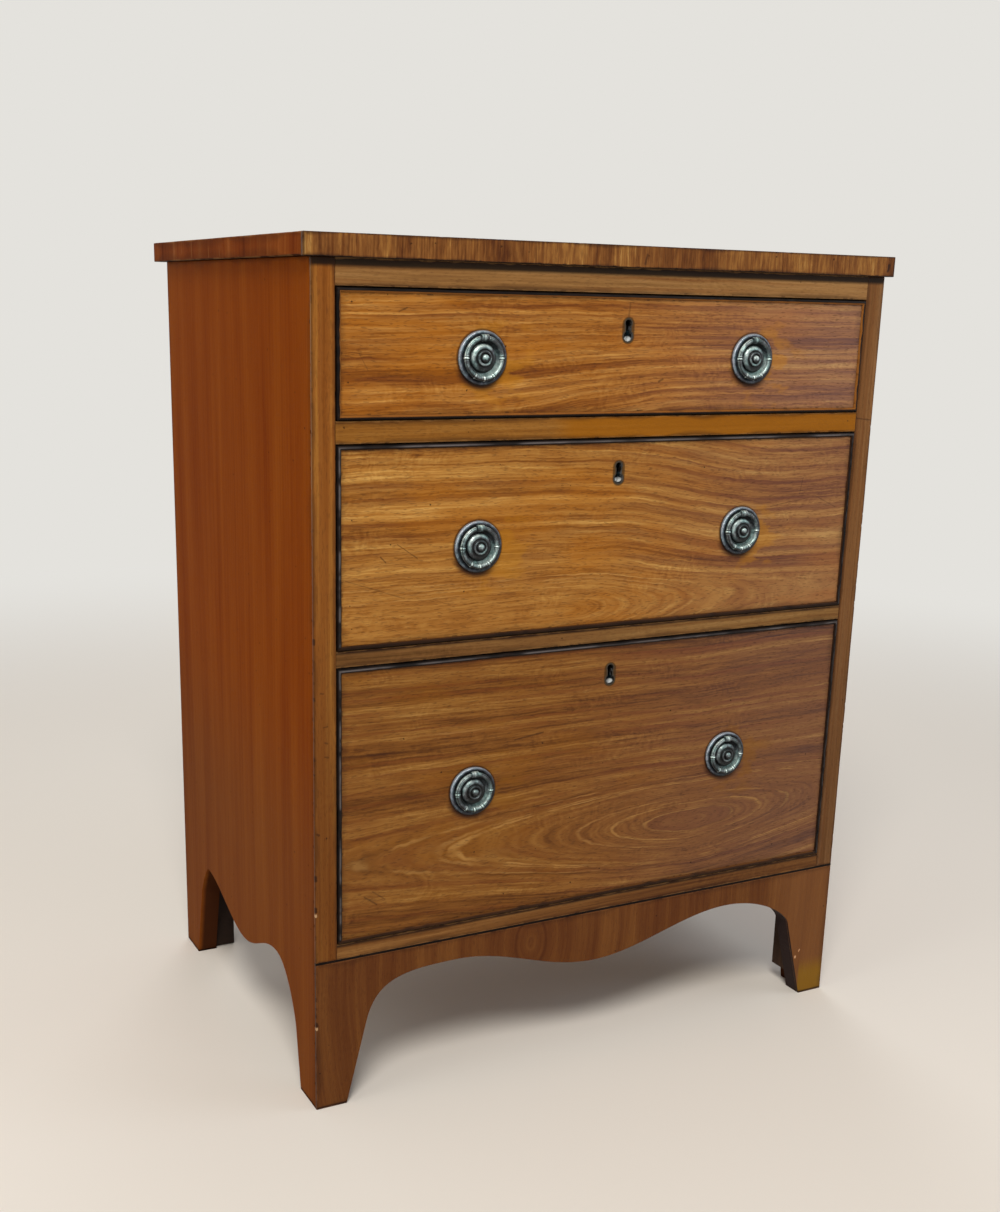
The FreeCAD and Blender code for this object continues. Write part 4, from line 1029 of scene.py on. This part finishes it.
stileLook = {"arris": 0.0006, "steps": (0.003, 0.001, 0.002), "nicks": 70, "nickSize": (0.0007, 0.0018),
             "dip": 0.00008, "keep": lambda vert: 1.0}
for side, sign in sides.items():
    stileLow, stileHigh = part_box(side + "_stile")
    verts, faces = wornBoard(stileLow, stileHigh, {**stileLook, "seed": 20 + sign})
    buildPiece(side + "StileFacing", verts, faces, woods[side + "Stile"], "carcass", "stile_veneer",
               [side + "_stile"])
print("top and stiles built")


# cockbeads: mitred half-round strips let into the edges of each front

beadLook = {"proud": 0.002, "roundSteps": 8, "step": 0.003, "chips": 12, "chipSize": (0.0015, 0.005),
            "faded": {"upper": (0.42, 1.4), "middle": (0.7, 0.5), "lower": (0.7, 0.3)}}
beadBrown = {"upper": 0.1, "middle": -0.35, "lower": -0.62}


def cockbead(level):
    node = level + "_drawer_cockbead"
    low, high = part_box(node)
    face = low.y + beadLook["proud"]
    deep = high.y - face
    half = beadWidth / 2
    draw = random.Random(level)
    section = [(0, -deep, 0.0), (0, 0.0, 0.1)]
    # the crown of the round carries the grey of rubbing and a painted highlight
    for i in range(1, beadLook["roundSteps"]):
        angle = math.pi * i / beadLook["roundSteps"]
        section.append((half - half * math.cos(angle), beadLook["proud"] * math.sin(angle),
                        math.sin(angle) ** 14))
    section += [(beadWidth, 0.0, 0.1), (beadWidth, -deep, 0.0)]
    corners = [(low.x, low.z, 1, 1), (high.x, low.z, -1, 1), (high.x, high.z, -1, -1), (low.x, high.z, 1, -1)]
    verts, wear = [], []
    stations = 0
    for k in range(4):
        first, last = corners[k], corners[(k + 1) % 4]
        length = abs(last[0] - first[0]) + abs(last[1] - first[1])
        count = round(length / beadLook["step"])
        rubAndHighlight = (beadBrown[level], 0.3, 1.0, 0.9)[k]   # below zero: faded to brown; above zero: rubbing and a painted highlight, strongest on the top and left runs
        chips = [(draw.uniform(0, length), draw.uniform(*beadLook["chipSize"]), draw.uniform(0.3, 0.9))
                 for _ in range(beadLook["chips"])]
        for s in range(count):
            run = length * s / count
            chip = sum(deepness * math.exp(-((run - spot) / size) ** 2) for spot, size, deepness in chips)
            for inward, out, worn in section:
                near, far = ([end[a] + end[a + 2] * inward for a in (0, 1)] for end in (first, last))
                x, z = (near[a] + (far[a] - near[a]) * s / count for a in (0, 1))
                sag = 0.06 * mm * (1 + noise.noise(Vector((x, out * 50, z)) * 40)) if out > 0 else 0
                keep = 1 - 0.6 * min(1, chip) if out > 0 else 1
                verts.append(Vector((x, face - max(0, out * keep - sag) if out > 0 else face - out, z)))
                start, amount = beadLook["faded"][level]
                inner = min(1, max(0, inward / beadWidth - start) * 5) * amount if out > -0.001 else 0
                wear.append((worn if rubAndHighlight > 0 else 1) * rubAndHighlight * (1 - 0.5 * min(1, chip)) - inner)
            stations += 1
    faces = bandFaces(stations, len(section), closed=True, flip=True)
    buildPiece(level + "Cockbead", verts, faces, beadBlack[level], level + "_drawer", "ebonised", [node],
               {"wear": wear})


for level in levels:
    cockbead(level)
print("cockbeads built")


# ring pulls

pullLook = {
    "spread": 0.144, "ribs": 120, "ribDeep": 0.16, "ringRadius": 17.2, "wire": 2.0, "beadRise": 0.6,
    "beadHours": (3, 5, 6, 7, 9), "gapAngle": 12.8, "stand": 4.8, "rimFrom": 18.3,
    # radius, height, wear: from the outer edge to the button
    "plate": [(23.2, 0.0, 0.1), (23.35, 0.7, 0.25), (23.3, 1.5, 0.5), (22.9, 2.3, 0.72), (22.3, 2.85, 0.76),
              (21.6, 3.0, 0.7), (20.9, 2.9, 0.62), (20.2, 2.65, 0.58), (19.4, 2.35, 0.54), (18.5, 2.05, 0.48),
              (17.8, 1.5, 0.1), (16.0, 1.35, 0.1), (13.8, 1.45, 0.1), (12.6, 1.9, 0.2), (12.2, 2.9, 0.45),
              (11.5, 3.9, 0.72), (10.4, 4.75, 0.8), (9.1, 5.25, 0.7), (8.1, 5.35, 0.45), (7.3, 5.0, 0.12),
              (6.9, 5.3, 0.3), (6.7, 6.3, 0.5), (6.2, 7.1, 0.68), (5.4, 7.35, 0.66), (4.6, 7.0, 0.4),
              (4.05, 6.3, 0.1), (3.55, 6.5, 0.2), (3.45, 7.4, 0.4), (3.05, 8.4, 0.66), (2.1, 9.0, 0.8),
              (0.9, 9.18, 0.85), (0.05, 9.19, 0.85)],
    # outer radius, inner radius, side polished and lit most (degrees), change there and all round: rubbing and
    # painted reflections
    "polishAndSheen": [(23.5, 22.7, 120, 0.4, 0.05), (22.7, 18.2, 140, 0.14, -0.12), (18.2, 12.5, -48, 0.6, 0.25),
               (12.5, 7.5, 125, 0.2, -0.2), (7.5, 4.2, -80, 0.2, -0.14), (4.2, 1.2, 95, 0.26, -0.2),
               (1.2, 0.0, 95, 0.05, -0.1)],
    "dull": {"upper": 0.02, "middle": 0.1, "lower": 0.2},
    # place along the knuckle, radius, wear
    "barrel": [(-3.5, 2.2, 0.3), (-3.4, 2.75, 0.45), (-2.9, 2.95, 0.5), (-1.5, 2.95, 0.5), (-1.3, 2.6, 0.3),
               (-0.9, 2.95, 0.68), (0.9, 2.95, 0.68), (1.3, 2.6, 0.3), (1.5, 2.95, 0.5), (2.9, 2.95, 0.5),
               (3.4, 2.75, 0.45), (3.5, 2.2, 0.3)],
    "thread": 0.6, "nut": (10, 3.5, 2.1),   # pitch; width, thickness and hole radius
}


def rimRibs(radius, rise, angle):   # fine reeding on the outer bead
    if radius < 21.0 or rise < 0.3:
        return 0, 0
    strength = pullLook["ribDeep"] * min(1, (radius - 21.0) / 0.8)
    wave = -0.5 - 0.5 * math.cos(angle * pullLook["ribs"])
    return wave * strength, wave * strength * 0.6


def plateWearAndSheen(level, worn, x, z):   # x and z from the plate's centre, in mm; worn gains rubbing and painted reflections by side
    reach, angle = math.hypot(x, z), math.atan2(z, x)
    for outer, inner, side, swing, shift in pullLook["polishAndSheen"]:
        if inner <= reach < outer:
            worn += shift + swing * math.cos(angle - math.radians(side))
    return max(0, worn - (pullLook["dull"][level] if reach < 12.5 else 0.5 * pullLook["dull"][level]))


def pullPlates(level):
    node = level + "_drawer_pull_plates"
    low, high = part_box(node)
    centre = (low.z + high.z) / 2
    profile = smoothLine(pullLook["plate"], 3)
    parts = [turned(profile, Vector((sign * pullLook["spread"], high.y, centre)), pullLook["ribs"] * 4,
                    rimRibs) for sign in sides.values()]
    verts, faces, wear = joinParts(parts)
    rim = []
    for i, vert in enumerate(verts):
        x = (vert.x - math.copysign(pullLook["spread"], vert.x)) / mm
        z = (vert.z - centre) / mm
        wear[i] = plateWearAndSheen(level, wear[i], x, z)
        rim.append(1.0 if math.hypot(x, z) > pullLook["rimFrom"] else 0.0)
    buildPiece(level + "PullPlates", verts, faces, brass, level + "_drawer", "pull_brass", [node],
               {"wear": wear, "rim": rim}, 50)


def ringLine(angle):   # the fine turned line just outside the front of the ring
    return math.exp(-((angle - math.radians(52)) / math.radians(11)) ** 2)


def pullRing(level, side):
    node = "%s_drawer_ring_%s" % (level, side)
    low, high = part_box(level + "_drawer_pull_plates")
    centre = Vector((sides[side] * pullLook["spread"], high.y - pullLook["stand"] * mm, (low.z + high.z) / 2))
    radius, wire, gap = pullLook["ringRadius"], pullLook["wire"], math.radians(pullLook["gapAngle"])
    beads = [math.radians(30 * hour) for hour in pullLook["beadHours"]]
    centres, frames, radii, worn = [], [], [], []
    count = 420
    for i in range(count + 1):
        angle = gap + (2 * math.pi - 2 * gap) * i / count
        radial = Vector((math.sin(angle), 0, math.cos(angle)))
        bump = sum(math.exp(-((angle - bead) * radius / 0.9) ** 2) for bead in beads)
        fillet = sum(math.exp(-((abs(angle - bead) * radius - 2.1) / 0.35) ** 2) for bead in beads)
        groove = sum(math.exp(-((abs(angle - bead) * radius - 1.45) / 0.3) ** 2) for bead in beads)
        milled = 0.05 * math.cos(angle * 150) * (1 - min(1, bump))
        end = max(0, min(1, min(angle - gap, 2 * math.pi - gap - angle) * radius / 0.8))
        thick = wire + pullLook["beadRise"] * bump + 0.22 * fillet - 0.25 * groove + milled
        thick *= 0.55 + 0.45 * end ** 0.5
        centres.append(centre + radial * radius * mm)
        frames.append((radial, Vector((0, -1, 0))))
        radii.append(thick * mm)
        # painted highlights on the ring's upper left and lower right, less on duller levels
        gleam = 0.07 * math.cos(2 * (angle - math.radians(135))) - 0.4 * pullLook["dull"][level]
        worn.append(min(1, 0.6 + gleam + 0.32 * bump + 0.12 * fillet - 0.4 * groove + 1.2 * milled))
    hoop = tube(centres, frames, radii, 32, worn, ringLine)
    parts = [hoop]
    pivot = centre + Vector((0, 0, radius * mm))
    for way in (-1, 1):   # stub pins into the knuckle
        start, end = pivot + Vector((way * 4.6, 0, 0)) * mm, pivot + Vector((way * 1.3, 0, 0)) * mm
        axes = (Vector((0, 1, 0)), Vector((0, 0, 1))) if way < 0 else (Vector((0, 0, 1)), Vector((0, 1, 0)))
        parts.append(tube([start, end], [axes] * 2, [0.95 * mm] * 2, 14, [0.4, 0.4]))
    verts, faces, wear = joinParts(parts)
    buildPiece("%s%sRing" % (level, side.capitalize()), verts, faces, brass, "%s_%s_ring" % (level, side),
               "pull_brass", [node], {"wear": wear}, 60)


def pullPosts(level):
    node = level + "_drawer_pull_posts"
    low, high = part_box(level + "_drawer_pull_plates")
    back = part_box(level + "_drawer_front")[1].y
    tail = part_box(node)[1].y
    pivotZ = (low.z + high.z) / 2 + pullLook["ringRadius"] * mm
    parts = []
    for sign in sides.values():
        pivot = Vector((sign * pullLook["spread"], high.y - pullLook["stand"] * mm, pivotZ))
        barrel = pullLook["barrel"]
        axes = (Vector((0, 1, 0)), Vector((0, 0, 1)))
        parts.append(tube([pivot + Vector((x, 0, 0)) * mm for x, r, w in barrel], [axes] * len(barrel),
                          [r * mm for x, r, w in barrel], 28, [w for x, r, w in barrel]))
        stem = [(pivot.y + 1 * mm, 1.9, 0.5), (high.y - 1.2 * mm, 1.9, 0.3)]
        y = high.y
        while y < tail - 0.8 * mm:   # the threaded tail
            stem += [(y, 1.9, 0.35), (y + 0.3 * mm, 1.65, 0.15)]
            y += pullLook["thread"] * mm
        stem += [(tail - 0.3 * mm, 1.8, 0.35), (tail, 1.4, 0.35)]
        across = (Vector((0, 0, 1)), Vector((1, 0, 0)))
        parts.append(tube([Vector((pivot.x, y, pivotZ)) for y, r, w in stem], [across] * len(stem),
                          [r * mm for y, r, w in stem], 20, [w for y, r, w in stem]))
        parts.append(squareNut(Vector((pivot.x, back, pivotZ)), *pullLook["nut"]))
    verts, faces, wear = joinParts(parts)
    buildPiece(level + "PullPosts", verts, faces, brass, level + "_drawer", "pull_brass", [node],
               {"wear": wear}, 40)


def squareNut(place, width, thick, hole):   # chamfered square nut on the inner face
    steps, verts = 48, []

    def squareReach(angle, half):
        return half / max(abs(math.cos(angle)), abs(math.sin(angle)))

    rings = [(hole, 0), (None, 0), (None, 0.75), (0.56 * width, 1.0), (hole + 0.5, 1.0), (hole, 0.85)]
    for radius, share in rings:
        for i in range(steps):
            angle = 2 * math.pi * (i + 0.5) / steps
            reach = min(squareReach(angle, width / 2), radius if radius else 0.66 * width)
            spot = Vector((reach * math.cos(angle), thick * share, reach * math.sin(angle)))
            verts.append(place + spot * mm)
    return verts, bandFaces(len(rings), steps, closed=True), [0.35] * len(verts)


for level in levels:
    pullPlates(level)
    pullPosts(level)
    for side in sides:
        pullRing(level, side)
print("ring pulls built")


# small trim: nail heads on the back boards, slotted screws on the lock cases

def hammeredHead(place, outward, size, draw):   # a rose-head nail with a few flats
    steps = 14
    axis = Vector(outward)
    right = axis.orthogonal().normalized()
    up = axis.cross(right)
    turn = draw.uniform(0, 1)
    verts = []
    for share, rise in ((1.0, 0.0), (0.97, 0.12), (0.72, 0.3), (0.35, 0.42), (0.02, 0.45)):
        for i in range(steps):
            angle = 2 * math.pi * (i + turn) / steps
            reach = size * share * (1 + 0.1 * math.cos(4 * angle + turn * 6) + draw.uniform(-0.04, 0.04))
            outward = right * math.cos(angle) + up * math.sin(angle)
            verts.append(place + outward * reach + axis * size * rise)
    faces = bandFaces(5, steps)
    faces.append([4 * steps + i for i in range(steps)])
    faces.append(list(range(steps))[::-1])
    return verts, faces, [0.5] * len(verts)


nailLook = {"across": 7, "up": 6, "size": (0.0022, 0.0031), "below": 0.009, "above": 0.011, "edge": 0.006,
            "loose": 0.008, "uneven": 0.01}


def backNails():
    low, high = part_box("back_boards")
    draw = random.Random(77)
    parts = []

    def addNail(x, z):
        parts.append(hammeredHead(Vector((x, high.y, z)), (0, 1, 0), draw.uniform(*nailLook["size"]), draw))

    def spread(i, count, start, end, loose):
        return start + (end - start) * ((i + 0.5) / count) + draw.uniform(-loose, loose)

    for i in range(nailLook["across"]):
        x = spread(i, nailLook["across"], low.x, high.x, nailLook["loose"])
        for z in (low.z + nailLook["below"], high.z - nailLook["above"]):
            addNail(x, z + draw.uniform(-0.002, 0.002))
    for i in range(nailLook["up"]):
        z = spread(i, nailLook["up"], low.z, high.z, nailLook["uneven"])
        for x in (low.x + nailLook["edge"], high.x - nailLook["edge"]):
            addNail(x + draw.uniform(-0.001, 0.001), z)
    verts, faces, wear = joinParts(parts)
    buildPiece("backNails", verts, faces, iron, "carcass", "iron", [])


def slottedHead(place, radius, turn):   # a countersunk head with its slot, facing into the drawer
    verts, faces = [], []
    steps = 24
    for share, rise in ((1.0, 0.0), (0.94, 0.12), (0.5, 0.2), (0.02, 0.2)):
        for i in range(steps):
            angle = 2 * math.pi * i / steps
            spot = Vector((math.cos(angle), math.sin(angle))) * radius * share
            inSlot = abs(spot.x * math.sin(turn) - spot.y * math.cos(turn)) < radius * 0.14
            lift = (0.02 if inSlot else rise) * radius * 1.2
            verts.append(place + Vector((spot.x, lift, spot.y)))
    for k in range(3):
        for i in range(steps):
            j = (i + 1) % steps
            faces.append([k * steps + j, k * steps + i, (k + 1) * steps + i, (k + 1) * steps + j])
    faces.append([3 * steps + i for i in range(steps)][::-1])
    faces.append(list(range(steps)))
    return verts, faces, [0.5] * len(verts)


screwLook = {"inset": 0.006, "below": 0.012, "radius": 0.0028}


def lockScrews(level):
    low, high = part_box(level + "_drawer_lock_case")
    draw = random.Random(level)
    parts = []
    inset, below, radius = screwLook["inset"], screwLook["below"], screwLook["radius"]
    for x in (low.x + inset, high.x - inset):
        for z in (low.z + inset, high.z - below):
            parts.append(slottedHead(Vector((x, high.y, z)), radius, draw.uniform(0, math.pi)))
    verts, faces, wear = joinParts(parts)
    buildPiece(level + "LockScrews", verts, faces, steel, level + "_drawer", "lock_steel", [])


backNails()
for level in levels:
    lockScrews(level)
print("nails and screws built")


# CAD nodes that stay: soft arrises and their materials

def soften(node, width):
    piece = frame["nodes"][node]
    piece.modifiers.new("weld", "WELD").merge_threshold = 1e-5
    flat = piece.modifiers.new("flat", "DECIMATE")
    flat.decimate_type = "DISSOLVE"
    flat.angle_limit = math.radians(0.5)
    arris = piece.modifiers.new("arris", "BEVEL")
    arris.width = width
    arris.segments = 2
    arris.limit_method = "ANGLE"
    arris.angle_limit = math.radians(40)
    piece.modifiers.new("even", "WEIGHTED_NORMAL").keep_sharp = True


def finishNode(node, material):
    materials = frame["nodes"][node].data.materials
    for i in range(len(materials)):
        materials[i] = material


nodeFinish = {"left_side": woods["side"], "right_side": woods["side"], "apron_facing": woods["apron"],
              "string_inlay": stringBlack, "top_screws": iron}
nodeFinish.update({node: woods[node] for node in list(railLooks) + list(insideLooks)})
boxAxes = {"left_side": "YZX", "right_side": "YZX", "back": "XZY", "floor": "XYZ"}
for level in levels:
    name = level + "_drawer_"
    nodeFinish[name + "front"] = woods[level + "Front"]
    for i, (part, axes) in enumerate(boxAxes.items()):
        node = name + part
        look = {**oak, "axes": axes, "seed": 70.0 + 5 * levels.index(level) + i, "box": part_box(node)}
        nodeFinish[node] = woodMaterial(node + "Oak", look)
    nodeFinish[name + "lock_case"] = steel
    nodeFinish[name + "lock_bolt"] = steel
    nodeFinish[name + "keyhole_liner"] = liner
softWidths = {"drawer_front": 0.0003, "lock_case": 0.0003, "lock_bolt": 0.0003, "keyhole_liner": 0.0002,
              "string_inlay": 0.0002, "top_screws": 0.0003}
for node, material in nodeFinish.items():
    finishNode(node, material)
    width = next((size for part, size in softWidths.items() if part in node), 0.0005)
    soften(node, width)
print("CAD nodes finished")


# stage: floor, backdrop, lamps, camera

stageLook = {"pale": "e4e2dd", "floor": "ebe9e5", "sky": 0.34, "fadeFrom": 1.1, "fadeTo": 2.6,
             "floorSize": 14}


def seenRay(tree):   # 1 for what the eye, a mirror or glass sees
    path = addNode(tree, "LightPath").outputs
    seen = maths(tree, "MAXIMUM", path["Is Camera Ray"], path["Is Glossy Ray"])
    return maths(tree, "MAXIMUM", seen, path["Is Transmission Ray"])


world = bpy.data.worlds.new("studio")
bpy.context.scene.world = world
world.use_nodes = True
skyTree = world.node_tree
skyTree.nodes.clear()
lit = addNode(skyTree, "Background", {"Color": tint("fff8f0"), "Strength": stageLook["sky"]})
seen = addNode(skyTree, "Background", {"Color": tint(stageLook["pale"]), "Strength": 1.0})
sky = addNode(skyTree, "MixShader", {0: seenRay(skyTree), 1: lit.outputs[0], 2: seen.outputs[0]})
addNode(skyTree, "OutputWorld", {0: sky.outputs[0]})

half = stageLook["floorSize"] / 2
floorMesh = bpy.data.meshes.new("floor")
floorMesh.from_pydata([(-half, -half, 0), (half, -half, 0), (half, half, 0), (-half, half, 0)], [],
                      [(0, 1, 2, 3)])
floor = bpy.data.objects.new("floor", floorMesh)
bpy.context.scene.collection.objects.link(floor)
floorMaterial, tree, shader = newMaterial("paleFloor")
shader.inputs["Base Color"].default_value = tint(stageLook["floor"])
shader.inputs["Roughness"].default_value = 0.8
shader.inputs["Specular IOR Level"].default_value = 0.1
glow = addNode(tree, "Emission", {"Color": tint(stageLook["pale"]), "Strength": 1.0})
reach = vectorMaths(tree, "LENGTH", addNode(tree, "TexCoord").outputs["Object"])
far = times(tree, remap(tree, reach, stageLook["fadeFrom"], stageLook["fadeTo"]), seenRay(tree))
mixed = addNode(tree, "MixShader", {0: far, 1: shader.outputs[0], 2: glow.outputs[0]})
plug(tree, tree.nodes["Material Output"].inputs[0], mixed.outputs[0])
floorMesh.materials.append(floorMaterial)

lampLooks = {   # place, aim, size in metres, watts, colour
    "key": ((-1.3, -2.2, 3.2), (0, -0.2, 0.45), 1.3, 92, "fff6ea"),
    "fill": ((2.6, -1.6, 1.7), (0, 0, 0.4), 1.8, 12, "f2f5ff"),
    "left": ((-2.8, -0.4, 1.6), (-0.3, 0, 0.4), 1.6, 12, "fff6ea"),
    "rear": ((1.2, 3.0, 2.2), (0, 0.2, 0.4), 2.0, 26, "ffffff"),
}
for name, (place, aim, size, watts, colour) in lampLooks.items():
    lamp = bpy.data.lights.new(name, "AREA")
    lamp.shape = "DISK"
    lamp.size = size
    lamp.energy = watts
    lamp.color = tint(colour)[:3]
    holder = bpy.data.objects.new(name, lamp)
    holder.location = place
    holder.rotation_euler = (Vector(aim) - Vector(place)).to_track_quat("-Z", "Y").to_euler()
    bpy.context.scene.collection.objects.link(holder)

cameraLook = {"place": (-0.73366, -1.34989, 0.73477), "turn": 27.6241, "down": 15.1504, "roll": 1.3553,
              "lens": 43.110, "sensor": 36, "shift": (0.01757, 0.07171)}
lens = bpy.data.cameras.new("view")
lens.sensor_width = cameraLook["sensor"]
lens.lens = cameraLook["lens"]
lens.shift_x, lens.shift_y = cameraLook["shift"]
camera = bpy.data.objects.new("view", lens)
camera.matrix_world = (Matrix.Translation(cameraLook["place"])
                       @ Matrix.Rotation(math.radians(-cameraLook["turn"]), 4, "Z")
                       @ Matrix.Rotation(math.radians(90 - cameraLook["down"]), 4, "X")
                       @ Matrix.Rotation(math.radians(cameraLook["roll"]), 4, "Z"))
bpy.context.scene.collection.objects.link(camera)
bpy.context.scene.camera = camera
bpy.context.scene.view_settings.view_transform = "Standard"
print("stage set")
